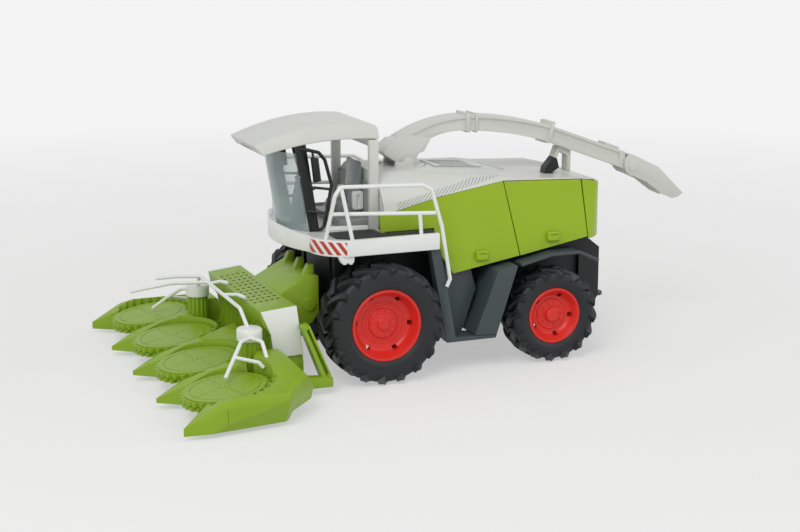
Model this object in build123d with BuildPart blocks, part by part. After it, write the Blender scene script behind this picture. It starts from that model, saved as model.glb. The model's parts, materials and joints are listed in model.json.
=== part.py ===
from build123d import *
from math import asin, atan2, cos, degrees, pi, radians, sin, sqrt, tan
import os

# Toy self-propelled forage harvester with a four-disc row header, in millimetres.
# The row frame is X forward, Y to the machine's left, Z up, with the floor at Z = 0.
# In this file "ahead" is the distance forward of the front axle, and the planes
# side(), plan() and cross() turn it into the row frame.

# ---------------------------------------------------------------- driving sizes
wheelbase = 141.9
front_tyre_radius = 44.9
rear_tyre_radius = 36.3
header_half_width = 150.0
divider_tip_ahead = 171.0
flap_end_ahead = -287.0
body_half_width = 59.0       # at the lower edge of the side panels
cab_half_width = 43.0
platform_half_width = 74.3
roof_top = 188.4

wall = 2.2                   # usual thickness of a moulded panel
running_clearance = 0.05     # radial, between a pin and its bore
side_clearance = 0.4         # between faces that pass each other
rim_gap = 0.1                # between a rim and the tyre on it

# The origin lies under the middle of the whole machine.
front_axle_x = -(divider_tip_ahead + flap_end_ahead) / 2


def side(y=0.0):
    """Plane of a side view: local x is ahead, local y is up; +amount goes to -Y."""
    return Plane(origin=(front_axle_x, y, 0), x_dir=(1, 0, 0), z_dir=(0, -1, 0))


def plan(z=0.0):
    """Plane of a top view: local x is ahead, local y is left; +amount goes up."""
    return Plane(origin=(front_axle_x, 0, z), x_dir=(1, 0, 0), z_dir=(0, 0, 1))


def cross(ahead=0.0):
    """Plane of a front view: local x is left, local y is up; +amount goes forward."""
    return Plane(origin=(front_axle_x + ahead, 0, 0), x_dir=(0, 1, 0), z_dir=(1, 0, 0))


def at(ahead, y, z):
    """A point of the row frame from its distance ahead of the front axle."""
    return Vector(front_axle_x + ahead, y, z)


def line_up(axis_ahead, y, z, direction=(0, 1, 0)):
    return Axis(at(axis_ahead, y, z), direction)


def save(piece, label):
    piece.label = label
    export_step(piece, f"parts/{label}.step")


def save_pair(piece, label):
    """The piece as built on the left side, and its mirror image on the right."""
    save(piece, label + "_left")
    save(mirror(piece, about=Plane.XZ), label + "_right")


def save_both(piece, label):
    """The piece as built on the left side and its mirror image, as one node of two solids."""
    with BuildPart() as both:
        add(piece)
        add(mirror(piece, about=Plane.XZ))
    save(both.part, label)


def tube(points, bend, radius):
    """A bent round bar: straight runs joined by tangent arcs."""
    with BuildPart() as bar:
        with BuildLine() as route:
            if len(points) > 2:
                FilletPolyline(*points, radius=bend)
            else:
                Line(*points)
        with BuildSketch(Plane(origin=route.line @ 0, z_dir=route.line % 0)):
            Circle(radius)
        sweep(path=route.line)
    return bar.part


os.makedirs("parts", exist_ok=True)

# ---------------------------------------------------------------- wheels
axle_pin_radius = 3.0
hub_depth = 15.0             # of the blind bore in the hub
front_axle_z = front_tyre_radius
rear_axle_z = rear_tyre_radius
rear_axle_ahead = -wheelbase

# name: ahead, centre y, tyre radius, half width, rim lip radius, rim half width
wheel_table = {
    "front": (0.0, 64.5, front_tyre_radius, 16.0, 26.95, 14.25),
    "rear": (rear_axle_ahead, 57.0, rear_tyre_radius, 13.0, 21.6, 11.3),
}
hub_back = 9.0               # from the wheel's middle to the back of its hub
tyre_sides = 32
lug_count = 16               # on each half of the tread
lug_height = 4.2
shoulder_drop = 4.0          # how far the tread's edge slopes down to the side wall
lug_reach = 7.0              # how far a lug runs round the tyre, each way from its middle
# One lug's outline: along the tread, and across it as a share of the half width.
lug_shape = ((7.0, 0.03), (1.5, 0.03), (-6.5, 0.98), (-1.0, 0.98))


def wheel_plane(ahead, y, radius):
    """Local x is outward along the axle, local y is the radius."""
    return Plane(origin=at(ahead, y, radius), x_dir=(0, 1, 0), z_dir=(1, 0, 0))


for end, (ahead, y, radius, half, lip, rim_half) in wheel_table.items():
    barrel = lip - 1.0
    spin = line_up(ahead, y, radius)
    with BuildPart() as rim:
        with BuildSketch(wheel_plane(ahead, y, radius)):
            Polygon(
                (rim_half, lip - 2.3), (rim_half, lip), (rim_half - 1.6, lip),
                (rim_half - 2.4, barrel), (2.4 - rim_half, barrel),
                (1.6 - rim_half, lip), (-rim_half, lip), (-rim_half, lip - 2.3),
                (0.5, lip - 4.4), (1.5, lip - 5.5), (1.5, 9.0), (-hub_back, 8.0),
                (-hub_back, 0), (hub_back, 0), (hub_back, 5.5), (hub_back - 1.5, 6.5),
                (hub_back - 1.5, 9.8), (hub_back - 3.2, 10.6), (hub_back - 3.2, 12.2),
                (4.2, 13.0), (4.2, lip - 6.6), (6.5, lip - 5.0), (rim_half - 1.6, lip - 3.2),
                align=None,
            )
        revolve(axis=spin)
        with BuildSketch(wheel_plane(ahead, y, radius)):
            Polygon(
                (-hub_back - 1, 0), (hub_depth - hub_back, 0),
                (hub_depth - hub_back, axle_pin_radius + running_clearance),
                (-hub_back - 1, axle_pin_radius + running_clearance),
                align=None,
            )
        revolve(axis=spin, mode=Mode.SUBTRACT)
    save_pair(rim.part, f"rim_{end}")

    # Tyre: flat-sided, with few enough sides that its mesh stays small, and chevron lugs all round.
    heel = lip + rim_gap
    carcass = radius - lug_height
    facet = 1 / cos(pi / tyre_sides)     # so that the bore's flats, not its corners, clear the rim
    bulge = (carcass + heel * facet) / 2
    flat_top = sqrt(radius**2 - lug_reach**2)
    phase = -degrees(asin(lug_reach / radius))   # so that the tyre stands on a lug's corner
    with BuildPart() as tyre:
        with BuildSketch(side(y + half)):
            with Locations((ahead, radius)):
                RegularPolygon(carcass, tyre_sides)
                RegularPolygon(heel * facet, tyre_sides, mode=Mode.SUBTRACT)
        extrude(amount=2 * half)
        for flank_y in (y - half, y + half):
            flank = [f for f in tyre.faces() if abs(f.center().Y - flank_y) < 0.01][0]
            outer = flank.outer_wire().edges()
            inner = flank.inner_wires()[0].edges()
            chamfer(inner, length=bulge - heel * facet - 1.0, length2=half - rim_half + 0.4, reference=flank)
            chamfer(outer, length=carcass - bulge - 1.0, length2=shoulder_drop, reference=flank)
        # One lug on each half of the tread, then the same all round.
        for s, turn in ((1, 0.0), (-1, 180.0 / lug_count)):
            with BuildPart(mode=Mode.PRIVATE) as lug:
                with BuildSketch(plan(radius + flat_top)):
                    with Locations((ahead, y)):
                        Polygon(
                            *[(along, s * across * half) for along, across in lug_shape], align=None
                        )
                extrude(amount=carcass - flat_top - 2.0)
            add([lug.part.rotate(spin, phase + turn + k * 360.0 / lug_count) for k in range(lug_count)])
    save_pair(tyre.part, f"tyre_{end}")

# ---------------------------------------------------------------- axles
front_y, front_half = wheel_table["front"][1], wheel_table["front"][3]
rear_y, rear_half = wheel_table["rear"][1], wheel_table["rear"][3]
rail_inner, rail_outer = 23.0, 26.0
tub_bottom, tub_top = 33.0, 94.0
front_beam = (12.0, 14.0)    # along X, along Z
rear_beam = (12.0, 10.0)
pin_end_gap = 0.5            # between the pin's end and the bottom of its bore

front_beam_end = front_y - front_half - 4.5
with BuildPart() as front_axle:
    with BuildSketch(side(0)):
        with Locations((0, front_axle_z)):
            Rectangle(*front_beam)
    extrude(amount=front_beam_end, both=True)
    for s in (1, -1):
        with BuildSketch(side(s * front_beam_end)):
            with Locations((0, front_axle_z)):
                Circle(6.0)
        extrude(amount=-s * (front_y - hub_back - side_clearance - front_beam_end))
        with BuildSketch(side(s * front_beam_end)):
            with Locations((0, front_axle_z)):
                Circle(axle_pin_radius)
        extrude(amount=-s * (front_y - hub_back + hub_depth - pin_end_gap - front_beam_end))
save(front_axle.part, "front_axle")

kingpin_y = 36.0
kingpin_radius = 2.0
boss_radius, boss_half_height = 5.0, 5.0
beam_end = 28.0
ear_gap = 0.3                # above and below the boss
ear_thickness = 3.0
knuckle_plate_in = kingpin_y + boss_radius + 0.5
knuckle_plate_out = rear_y - hub_back - side_clearance - 3.0
with BuildPart() as rear_axle:
    with BuildSketch(side(0)):
        with Locations((rear_axle_ahead, rear_axle_z)):
            Rectangle(*rear_beam)
    extrude(amount=beam_end, both=True)
    with BuildSketch(side(0)):
        with Locations((rear_axle_ahead, rear_axle_z)):
            Rectangle(7.0, 2 * boss_half_height)
    extrude(amount=kingpin_y, both=True)
    with BuildSketch(plan(rear_axle_z - boss_half_height)):
        with Locations((rear_axle_ahead, kingpin_y), (rear_axle_ahead, -kingpin_y)):
            Circle(boss_radius)
    extrude(amount=2 * boss_half_height)
    with BuildSketch(plan(rear_axle_z - boss_half_height)):
        with Locations((rear_axle_ahead, kingpin_y), (rear_axle_ahead, -kingpin_y)):
            Circle(kingpin_radius + running_clearance)
    extrude(amount=2 * boss_half_height, mode=Mode.SUBTRACT)
save(rear_axle.part, "rear_axle")

ear_low = boss_half_height + ear_gap
ear_high = ear_low + ear_thickness
with BuildPart() as knuckle:
    for z in (rear_axle_z + ear_low, rear_axle_z - ear_high):
        with BuildSketch(plan(z)):
            with Locations((rear_axle_ahead, kingpin_y)):
                Circle(boss_radius)
            with Locations((rear_axle_ahead, (kingpin_y + knuckle_plate_out) / 2)):
                Rectangle(2 * boss_radius, knuckle_plate_out - kingpin_y)
        extrude(amount=ear_thickness)
    with BuildSketch(side(knuckle_plate_in)):
        with Locations((rear_axle_ahead, rear_axle_z)):
            Rectangle(2 * boss_radius, 2 * ear_high)
    extrude(amount=knuckle_plate_in - knuckle_plate_out)
    with BuildSketch(plan(rear_axle_z - ear_high)):
        with Locations((rear_axle_ahead, kingpin_y)):
            Circle(kingpin_radius)
    extrude(amount=2 * ear_high)
    for pin_radius, reach in (
        (5.0, rear_y - hub_back - side_clearance),
        (axle_pin_radius, rear_y - hub_back + hub_depth - pin_end_gap),
    ):
        with BuildSketch(side(knuckle_plate_out)):
            with Locations((rear_axle_ahead, rear_axle_z)):
                Circle(pin_radius)
        extrude(amount=knuckle_plate_out - reach)
save_pair(knuckle.part, "steering_knuckle")

# ---------------------------------------------------------------- chassis
nose_ahead = 26.0
tail_ahead = -182.0
shelf_half = 50.0
shelf_bottom = 85.5
shelf_front, shelf_rear = -110.0, -177.0
tail_box = (-182.0, -200.0, 30.0, 34.0, 78.0)   # front, rear, half width, low, high
floor_thickness = 3.0
platform_bottom = 97.5
pivot_ahead, pivot_z = 44.0, 54.6   # where the feeder house swings
pivot_pin_radius = 3.0
tongue_half = 10.0
feeder_half = 32.0
upright_ahead, upright_depth = 20.0, 6.0
upright_inner, upright_outer = feeder_half + 1.5, feeder_half + 6.0
with BuildPart() as chassis:
    with BuildSketch(cross(tail_ahead)):
        with Locations((0, (tub_bottom + tub_top) / 2)):
            Rectangle(2 * rail_outer, tub_top - tub_bottom)
    extrude(amount=nose_ahead - tail_ahead)
    with BuildSketch(cross(tail_ahead + 3)):
        Polygon(
            (-rail_inner, tub_bottom + floor_thickness), (rail_inner, tub_bottom + floor_thickness),
            (rail_inner, tub_top + 1), (-rail_inner, tub_top + 1), align=None,
        )
    extrude(amount=nose_ahead - tail_ahead - 6, mode=Mode.SUBTRACT)
    # The shelf that carries the side panels over the rear wheels.
    with BuildSketch(side(0)):
        Polygon(
            (shelf_front, shelf_bottom - 4), (shelf_front, tub_top - 6), (-118, tub_top - 6),
            (-150, tub_top - 3), (shelf_rear, tub_top - 1.6), (shelf_rear, shelf_bottom - 6),
            (-163, shelf_bottom), (-139, shelf_bottom), align=None,
        )
    extrude(amount=shelf_half, both=True)
    with BuildSketch(side(0)):
        Polygon(
            (shelf_front + 1, shelf_bottom - 8), (shelf_front + 1, tub_top + 1),
            (shelf_rear + 3, tub_top + 1), (shelf_rear + 3, shelf_bottom - 8), align=None,
        )
    extrude(amount=rail_inner, both=True, mode=Mode.SUBTRACT)
    # Tail box behind the rear wheels, for the tow hitch.
    with BuildSketch(side(0)):
        Polygon(
            (tail_box[0], tail_box[3]), (tail_box[1] + 3, tail_box[3]), (tail_box[1], tail_box[3] + 5),
            (tail_box[1], tail_box[4]), (tail_box[0], tub_top - 1.6), align=None,
        )
    extrude(amount=tail_box[2], both=True)
    # Front uprights beside the feeder, up to the platform.
    for s in (1, -1):
        with BuildSketch(cross(upright_ahead)):
            Polygon(
                (s * (rail_outer - 2), 62), (s * (upright_outer - 1), 62), (s * upright_outer, 66),
                (s * upright_outer, platform_bottom), (s * upright_inner, platform_bottom),
                (s * upright_inner, 70), (s * (rail_outer - 2), 70), align=None,
            )
        extrude(amount=upright_depth)
    # Tongue with the cross pin that carries the feeder house.
    with BuildSketch(side(0)):
        with Locations((pivot_ahead, pivot_z)):
            Circle(5.0)
        Polygon(
            (nose_ahead - 2, pivot_z - 5), (pivot_ahead, pivot_z - 5), (pivot_ahead, pivot_z + 5),
            (nose_ahead - 2, pivot_z + 9), align=None,
        )
    extrude(amount=tongue_half, both=True)
    with BuildSketch(side(0)):
        with Locations((pivot_ahead, pivot_z)):
            Circle(pivot_pin_radius)
    extrude(amount=feeder_half - 4.0, both=True)
    # Seats of the two axle beams.
    for beam_ahead, beam_z, beam in (
        (0.0, front_axle_z, front_beam), (rear_axle_ahead, rear_axle_z, rear_beam)
    ):
        with BuildSketch(side(0)):
            with Locations((beam_ahead, beam_z)):
                Rectangle(*beam)
        extrude(amount=rail_outer + 1, both=True, mode=Mode.SUBTRACT)
save(chassis.part, "chassis_frame")

# ---------------------------------------------------------------- platform and deck
platform_top = 109.5
nose_top = 111.8
platform_rear = -43.4
side_straight_front = 28.0   # where the straight skirt ends and the nose corner begins
nose_corner = (48.5, 47.0)
nose_bulge = (4.8, 3.6)      # how far the corner's arc stands out of its chord
nose_front = 60.2
cab_rear = -7.4
deck_inner = body_half_width - 1.0   # the hood stands between the two side decks
panels_front = -4.0          # where the hood's side panels begin, beside the cab's rear posts


def platform_outline(inset):
    """Closed top view of the platform, moved in by inset."""
    half = platform_half_width - inset
    corner = (nose_corner[0] - 0.7 * inset, nose_corner[1] - 0.7 * inset)
    middle = (
        (side_straight_front + corner[0]) / 2 + nose_bulge[0], (half + corner[1]) / 2 + nose_bulge[1]
    )
    rear = platform_rear + inset
    with BuildLine() as border:
        Polyline((rear, -half), (side_straight_front, -half))
        ThreePointArc((side_straight_front, -half), (middle[0], -middle[1]), (corner[0], -corner[1]))
        ThreePointArc((corner[0], -corner[1]), (nose_front - inset, 0), corner)
        ThreePointArc(corner, middle, (side_straight_front, half))
        Polyline((side_straight_front, half), (rear, half), (rear, -half))
    return Wire(border.line.edges())


with BuildPart() as platform:
    with BuildSketch(plan(platform_bottom)):
        add(make_face(platform_outline(0)))
    extrude(amount=platform_top - platform_bottom)
    with BuildSketch(plan(platform_bottom)):
        add(make_face(platform_outline(wall)))
    extrude(amount=platform_top - platform_bottom - wall, mode=Mode.SUBTRACT)
    # Behind the cab only the two side decks go on, beside the hood.
    with BuildSketch(plan(platform_bottom - 1)):
        with Locations(((platform_rear - 2 + cab_rear) / 2, 0)):
            Rectangle(cab_rear - platform_rear + 2, 2 * deck_inner)
    extrude(amount=20, mode=Mode.SUBTRACT)
    # Low lip round the nose, under the windscreen.
    with BuildSketch(plan(platform_top)):
        add(make_face(platform_outline(0)))
        add(make_face(platform_outline(1.6)), mode=Mode.SUBTRACT)
        with Locations((platform_rear - 100 + side_straight_front + 5, 0)):
            Rectangle(2 * (100 - platform_rear - side_straight_front), 200, mode=Mode.SUBTRACT)
    extrude(amount=nose_top - platform_top)
save(platform.part, "platform")

tread_height = 0.8
tread_margin = 1.5           # left bare beside the cab, the hood and the skirt's rim
tread_rear, tread_front = platform_rear + 2.0, side_straight_front + 6.0
tread_outer = platform_half_width - 4.0
with BuildPart() as deck_tread:
    for s in (1, -1):
        with BuildSketch(plan(platform_top)):
            Polygon(
                (tread_rear, s * (body_half_width + tread_margin)), (tread_rear, s * tread_outer),
                (side_straight_front - 2, s * tread_outer), (tread_front, s * (tread_outer - 5)),
                (tread_front, s * (cab_half_width + tread_margin)),
                (panels_front + tread_margin, s * (cab_half_width + tread_margin)),
                (panels_front + tread_margin, s * (body_half_width + tread_margin)), align=None,
            )
        extrude(amount=tread_height)
save(deck_tread.part, "deck_tread")

# ---------------------------------------------------------------- cab
roof_low_rear = 176.6        # underside of the roof at its rear edge
post_width = 7.0
post_depth = 4.5
post_top = roof_low_rear - 0.4
cab_floor = platform_top
rear_wall_top = 142.0
rear_wall_half = cab_half_width - 0.5 * post_depth
screen_bottom_front, screen_top_front = 56.5, 65.5
screen_lean = (screen_top_front - screen_bottom_front) / (168.0 - 112.0)

with BuildPart() as cab_frame:
    for s in (1, -1):
        with BuildSketch(plan(cab_floor)):
            with Locations((cab_rear + post_width / 2, s * (cab_half_width - post_depth / 2))):
                Rectangle(post_width, post_depth)
        extrude(amount=post_top - cab_floor)
    with BuildSketch(cross(cab_rear)):
        with Locations((0, (cab_floor + rear_wall_top) / 2)):
            Rectangle(2 * rear_wall_half, rear_wall_top - cab_floor)
    extrude(amount=wall)
    # Head rail across the back, under the roof.
    with BuildSketch(cross(cab_rear)):
        with Locations((0, post_top - 3)):
            Rectangle(2 * rear_wall_half, 6)
    extrude(amount=4)
    # Low plinth on each side, with the seat platform between them.
    with BuildSketch(cross(cab_rear)):
        with Locations((0, cab_floor + 3)):
            Rectangle(60, 6)
    extrude(amount=26)
save(cab_frame.part, "cab_frame")

roof_slope = 0.34            # how fast the roof's sides lean in, per unit of height
roof_rear, roof_front = cab_rear - 0.8, 84.0
roof_front_half = 30.0       # the roof narrows towards its front edge
roof_chin = (78.0, 167.6)    # lower edge of the sloping front face


def roof_outline(z):
    """Face of the roof's top view at height z; its two sides lean inwards upwards."""
    inset = roof_slope * (z - roof_low_rear)
    rear_half, front_half = cab_half_width - inset, roof_front_half - inset
    with BuildLine() as border:
        Polyline(
            (roof_rear - 1, -rear_half), (roof_front + 1, -front_half), (roof_front + 1, front_half),
            (roof_rear - 1, rear_half), (roof_rear - 1, -rear_half),
        )
    return make_face(border.line.edges())


with BuildPart() as cab_roof:
    for z in (roof_chin[1] - 4, roof_top + 4):
        with BuildSketch(plan(z)):
            add(roof_outline(z))
    loft(ruled=True)
    with BuildSketch(side(0)):
        with BuildLine():
            ThreePointArc(roof_chin, (40, 175.4), (roof_rear, roof_low_rear))
            Line((roof_rear, roof_low_rear), (roof_rear, 183.4))
            ThreePointArc((roof_rear, 183.4), (roof_rear + 1.0, 185.7), (roof_rear + 3.2, 187.0))
            ThreePointArc((roof_rear + 3.2, 187.0), (17, roof_top), (roof_front, 174.8))
            Line((roof_front, 174.8), roof_chin)
        make_face()
    extrude(amount=cab_half_width + 10, both=True, mode=Mode.INTERSECT)
save(cab_roof.part, "cab_roof")

screen_half = 32.0
screen_thickness = 1.0
screen_sag = 11.5            # how far the glass bows forward at its middle
with BuildPart() as windscreen:
    for z in (platform_top, 168.0):
        front = screen_bottom_front + screen_lean * (z - 112.0)
        with BuildSketch(plan(z)):
            with BuildLine():
                side_outer = front - screen_sag
                side_inner = side_outer - screen_thickness
                ThreePointArc((side_outer, -screen_half), (front, 0), (side_outer, screen_half))
                Line((side_outer, screen_half), (side_inner, screen_half))
                ThreePointArc(
                    (side_inner, screen_half), (front - screen_thickness, 0), (side_inner, -screen_half)
                )
                Line((side_inner, -screen_half), (side_outer, -screen_half))
            make_face()
    loft()
save(windscreen.part, "windscreen")

# Black front pillar with its bow, cross bars and mirror.
pillar = ((46.1, 177.0), (54.1, 175.5), (43.2, platform_top), (36.0, platform_top))
pillar_outer = screen_half + 2.0
bow_radius = 1.3
bow_y = pillar_outer + 3.5
bow_foot = platform_top + 2.0
bow = [(50, pillar_outer - 1, 171.5), (46, bow_y, 171.0), (37.1, bow_y, 168.6), (32.4, bow_y, 162.8),
       (27.4, bow_y, 144.0), (33.4, bow_y, bow_foot + 2.5), (36, bow_y, bow_foot),
       (40, pillar_outer - 1, bow_foot)]
with BuildPart() as front_pillar:
    with BuildSketch(side(pillar_outer)):
        Polygon(*pillar, align=None)
    extrude(amount=pillar_outer - screen_half - 0.1)
    add(tube([at(*p) for p in bow], 2.0, bow_radius))
    for ahead, z in ((28.4, 141.0), (31.6, 123.5)):
        add(tube([at(ahead, bow_y, z), at(ahead + 13, pillar_outer - 0.8, z + 1.5)], 0, 1.0))
    # Mirror, hung from the top of the bow.
    with BuildSketch(side(bow_y + 3.5)):
        Polygon((43.6, 165.6), (38.5, 165.0), (36.5, 148.2), (41.5, 147.0), align=None)
    extrude(amount=3.4)
    add(tube([at(42, bow_y, 170), at(41.5, bow_y + 1.5, 163)], 0, 0.9))
    add(cab_roof.part, mode=Mode.SUBTRACT)
save_both(front_pillar.part, "front_pillars")

plinth_top = cab_floor + 6.0
seat_half = 14.0
seat_rear = cab_rear + wall + 0.3
# ahead of the back of the seat, height
seat_shape = (
    (0.0, plinth_top), (19.3, plinth_top), (20.3, 121.0), (18.3, 125.0), (5.3, 124.0), (2.8, 140.0),
    (2.3, 154.0), (0.7, 156.0), (0.0, 155.0),
)
with BuildPart() as seat:
    with BuildSketch(side(0)):
        Polygon(*[(seat_rear + ahead, z) for ahead, z in seat_shape], align=None)
    extrude(amount=seat_half, both=True)
save(seat.part, "seat")

armrest = (8.4, 14.0, 4.0)   # along, up, across
with BuildPart() as armrests:
    for s in (1, -1):
        with BuildSketch(side(s * seat_half)):
            with Locations((seat_rear + armrest[0] / 2, 127)):
                RectangleRounded(armrest[0], armrest[1], 2.0)
        extrude(amount=-s * armrest[2])
save(armrests.part, "armrests")

wheel_centre = (36.0, 139.0)
wheel_tilt = 35.0
with BuildPart() as steering_console:
    with BuildSketch(side(0)):
        Polygon((36, cab_floor), (48, cab_floor), (40.5, 142.5), (36.5, 139.7), align=None)
    extrude(amount=4, both=True)
    hub = Plane(
        origin=at(wheel_centre[0], 0, wheel_centre[1]), x_dir=(0, 1, 0),
        z_dir=(-sin(radians(wheel_tilt)), 0, cos(radians(wheel_tilt))),
    )
    with BuildSketch(hub):
        Circle(9.0)
        Circle(7.0, mode=Mode.SUBTRACT)
        Rectangle(17.0, 2.4)
        Circle(2.4)
    extrude(amount=1.8)
save(steering_console.part, "steering_console")

# ---------------------------------------------------------------- handrails
rail_radius = 1.45
rail_y = 72.3
rail_foot = (40.8, 61.5, platform_top - 0.6)
rail_knee = (37.1, rail_y, 142.8)
middle_share = 0.58          # how far up the front leg the middle bar starts
middle_start = tuple(low + middle_share * (high - low) for low, high in zip(rail_foot, rail_knee))
rail_runs = (
    # outer frame, from its front foot over the top and down behind the platform
    [rail_foot, rail_knee, (33.0, rail_y, 148.6),
     (-30.1, rail_y, 146.0), (-37.5, rail_y, 142.0), (-45.6, rail_y, 114.4),
     (-52.4, rail_y, 74.0), (-49.7, rail_y, 68.5)],
    [(32.3, rail_y, 147.2), (24.1, rail_y, platform_top - 0.6)],
    [middle_start, (-40.4, rail_y, 124.7)],
    [(-28.1, rail_y, 125.2), (-29.4, rail_y, platform_top - 0.6)],
)
with BuildPart() as handrail:
    for run in rail_runs:
        add(tube([at(*p) for p in run], 2.4, rail_radius))
    add(platform.part, mode=Mode.SUBTRACT)
save_both(handrail.part, "handrails")

# ---------------------------------------------------------------- hood
panel_lean = 7.0             # degrees that the side panels lean inwards
panel_foot_z = 84.0          # height where they reach the full body width


def panel_y(z, inset=0.0):
    """Half width of the body at height z, on the leaning plane of the side panels."""
    return body_half_width - tan(radians(panel_lean)) * (z - panel_foot_z) - inset


hood_front = cab_rear - 0.4
split_top, split_bottom = (-104.6, 141.0), (-116.2, 83.9)
cap_seam_top, cap_seam_bottom = (-170.4, 138.4), (-174.6, 93.9)
# ahead, border inset, border z, shoulder y, shoulder z, middle z
hood_table = (
    (hood_front, 0.0, 122.4, 29.0, 149.9, 150.6),
    (-52.0, 0.0, 132.6, 31.0, 148.6, 149.6),
    (split_top[0], 0.0, split_top[1], 39.0, 144.2, 145.8),
    (-123.0, 0.0, 140.3, 47.0, 140.9, 141.1),
    (cap_seam_top[0], 0.0, cap_seam_top[1], 48.0, 138.9, 139.1),
    (-189.0, 11.0, 134.6, 38.0, 135.1, 135.2),
)


def hood_section(row, inset, drop):
    """Face of the hood across the machine, its skin moved in by inset and down by drop."""
    border_inset, border_z, shoulder_y, shoulder_z, middle_z = row[1:]
    border_y = panel_y(border_z, border_inset + inset)
    shoulder_y -= 0.6 * inset
    bulge_y = 0.5 * (border_y + shoulder_y) + 0.12 * (shoulder_z - border_z)
    bulge_z = 0.5 * (border_z + shoulder_z) + 0.12 * (border_y - shoulder_y) - drop
    low = border_z - (2 * drop if drop else 0)
    shoulder_z -= drop
    middle_z -= drop
    with BuildLine() as skin:
        Line((-border_y, low), (border_y, low))
        if drop:
            Line((border_y, low), (border_y, border_z - 0.5 * drop))
        start = (border_y, border_z - 0.5 * drop)
        ThreePointArc(start, (bulge_y, bulge_z), (shoulder_y, shoulder_z))
        ThreePointArc((shoulder_y, shoulder_z), (0, middle_z), (-shoulder_y, shoulder_z))
        ThreePointArc((-shoulder_y, shoulder_z), (-bulge_y, bulge_z), (-start[0], start[1]))
        if drop:
            Line((-start[0], start[1]), (-border_y, low))
    return make_face(skin.line.edges())


turret_ahead = -43.2
turret_hole_radius = 12.0
turret_ring_radius = 17.5
seat_z = 147.2               # where the spout's turning ring lies
grille_front, grille_rear, grille_half = -64.2, -103.0, 15.0
grille_sink, grille_thickness = 1.0, 1.6
hood_wall_foot = 138.6      # the front wall hangs down to here, behind the cab's rear wall
hood_fall = (hood_table[1][5] - hood_table[2][5]) / (hood_table[1][0] - hood_table[2][0])


def hood_middle_z(ahead):
    """Height of the hood's middle line between its second and third sections."""
    return hood_table[2][5] + hood_fall * (ahead - hood_table[2][0])


with BuildPart() as hood:
    for row in hood_table:
        with BuildSketch(cross(row[0])):
            add(hood_section(row, 0, 0))
    loft(ruled=True)
    for row in hood_table:
        with BuildSketch(cross(row[0])):
            add(hood_section(row, wall, wall))
    loft(ruled=True, mode=Mode.SUBTRACT)
    # Upper part of the front wall, seen through the cab's rear window.
    with BuildSketch(cross(hood_front)):
        add(hood_section(hood_table[0], 0.5, 0.5))
        with Locations((0, hood_wall_foot - 50)):
            Rectangle(200, 100, mode=Mode.SUBTRACT)
    extrude(amount=-wall)
    # Shallow recess for the grille plate.
    with BuildSketch(side(0)):
        Polygon(
            (grille_front, hood_middle_z(grille_front) - grille_sink), (grille_front, 160),
            (grille_rear, 160), (grille_rear, hood_middle_z(grille_rear) - grille_sink), align=None,
        )
    extrude(amount=grille_half + 0.2, both=True, mode=Mode.SUBTRACT)
    # Recess with a bored floor, where the spout's turret turns.
    with BuildSketch(plan(seat_z - 3)):
        with Locations((turret_ahead, 0)):
            Circle(turret_ring_radius + 2.5)
    extrude(amount=5)
    with BuildSketch(plan(seat_z)):
        with Locations((turret_ahead, 0)):
            Circle(turret_ring_radius + 1.0)
    extrude(amount=10, mode=Mode.SUBTRACT)
    with BuildSketch(plan(seat_z - 10)):
        with Locations((turret_ahead, 0)):
            Circle(turret_hole_radius + running_clearance)
    extrude(amount=20, mode=Mode.SUBTRACT)
save(hood.part, "hood")

# ---------------------------------------------------------------- side panels
panel_gap = 0.5              # round the opening panel, and at the split
hood_gap = 0.3               # under the hood's border
latch = (9.4, 7.6, 1.4)      # along, up, out


def panel_plane():
    """Outer face of the left side panel: local x is ahead, local y goes up the lean."""
    lean = radians(panel_lean)
    return Plane(
        origin=at(0, body_half_width, panel_foot_z), x_dir=(1, 0, 0), z_dir=(0, -cos(lean), -sin(lean))
    )


def on_panel(points):
    """Side-view points (ahead, z) as points of the leaning panel plane."""
    lean = radians(panel_lean)
    return [(ahead, (z - panel_foot_z) / cos(lean)) for ahead, z in points]


front_panel_shape = (
    (panels_front, platform_top + 0.3), (panels_front, hood_table[0][2] - 1.2),
    (hood_table[1][0], hood_table[1][2] - hood_gap),
    (split_top[0] + panel_gap, split_top[1] - hood_gap), (split_bottom[0] + panel_gap, split_bottom[1]),
    (-60.5, 74.9), (platform_rear - 3.2, 96.0), (platform_rear - 3.2, platform_top + 0.3),
)
rear_panel_shape = (
    (split_top[0] - panel_gap, split_top[1] - hood_gap - 0.1),
    (cap_seam_top[0] + panel_gap, cap_seam_top[1] - hood_gap),
    (cap_seam_bottom[0] + panel_gap, cap_seam_bottom[1]),
    (split_bottom[0] - panel_gap, split_bottom[1]),
)
for label, shape, latch_at in (
    ("side_panel_front", front_panel_shape, (-83.8, 86.4)),
    ("side_panel_rear", rear_panel_shape, (-144.0, 96.3)),
):
    outline = on_panel(shape)
    if label == "side_panel_rear":
        outline[:2] = [(ahead, up - wall / 2) for ahead, up in outline[:2]]
    with BuildPart() as panel:
        with BuildSketch(panel_plane()):
            Polygon(*outline, align=None)
        extrude(amount=wall)
        if label == "side_panel_rear":
            # Round top edge: the panel swings about its middle line.
            ends = [panel_plane().from_local_coords(Vector(*point, wall / 2)) for point in outline[:2]]
            add(tube(ends, 0, wall / 2))
        with BuildSketch(panel_plane()):
            with Locations(*on_panel([latch_at])):
                RectangleRounded(latch[0], latch[1], 1.5)
        extrude(amount=-latch[2])
    if label == "side_panel_front":
        save_both(panel.part, "side_panels_front")
    else:
        save_pair(panel.part, label)

# ---------------------------------------------------------------- rear cap
cap_wall = 2.4
grille_depth = 3.0


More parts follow.
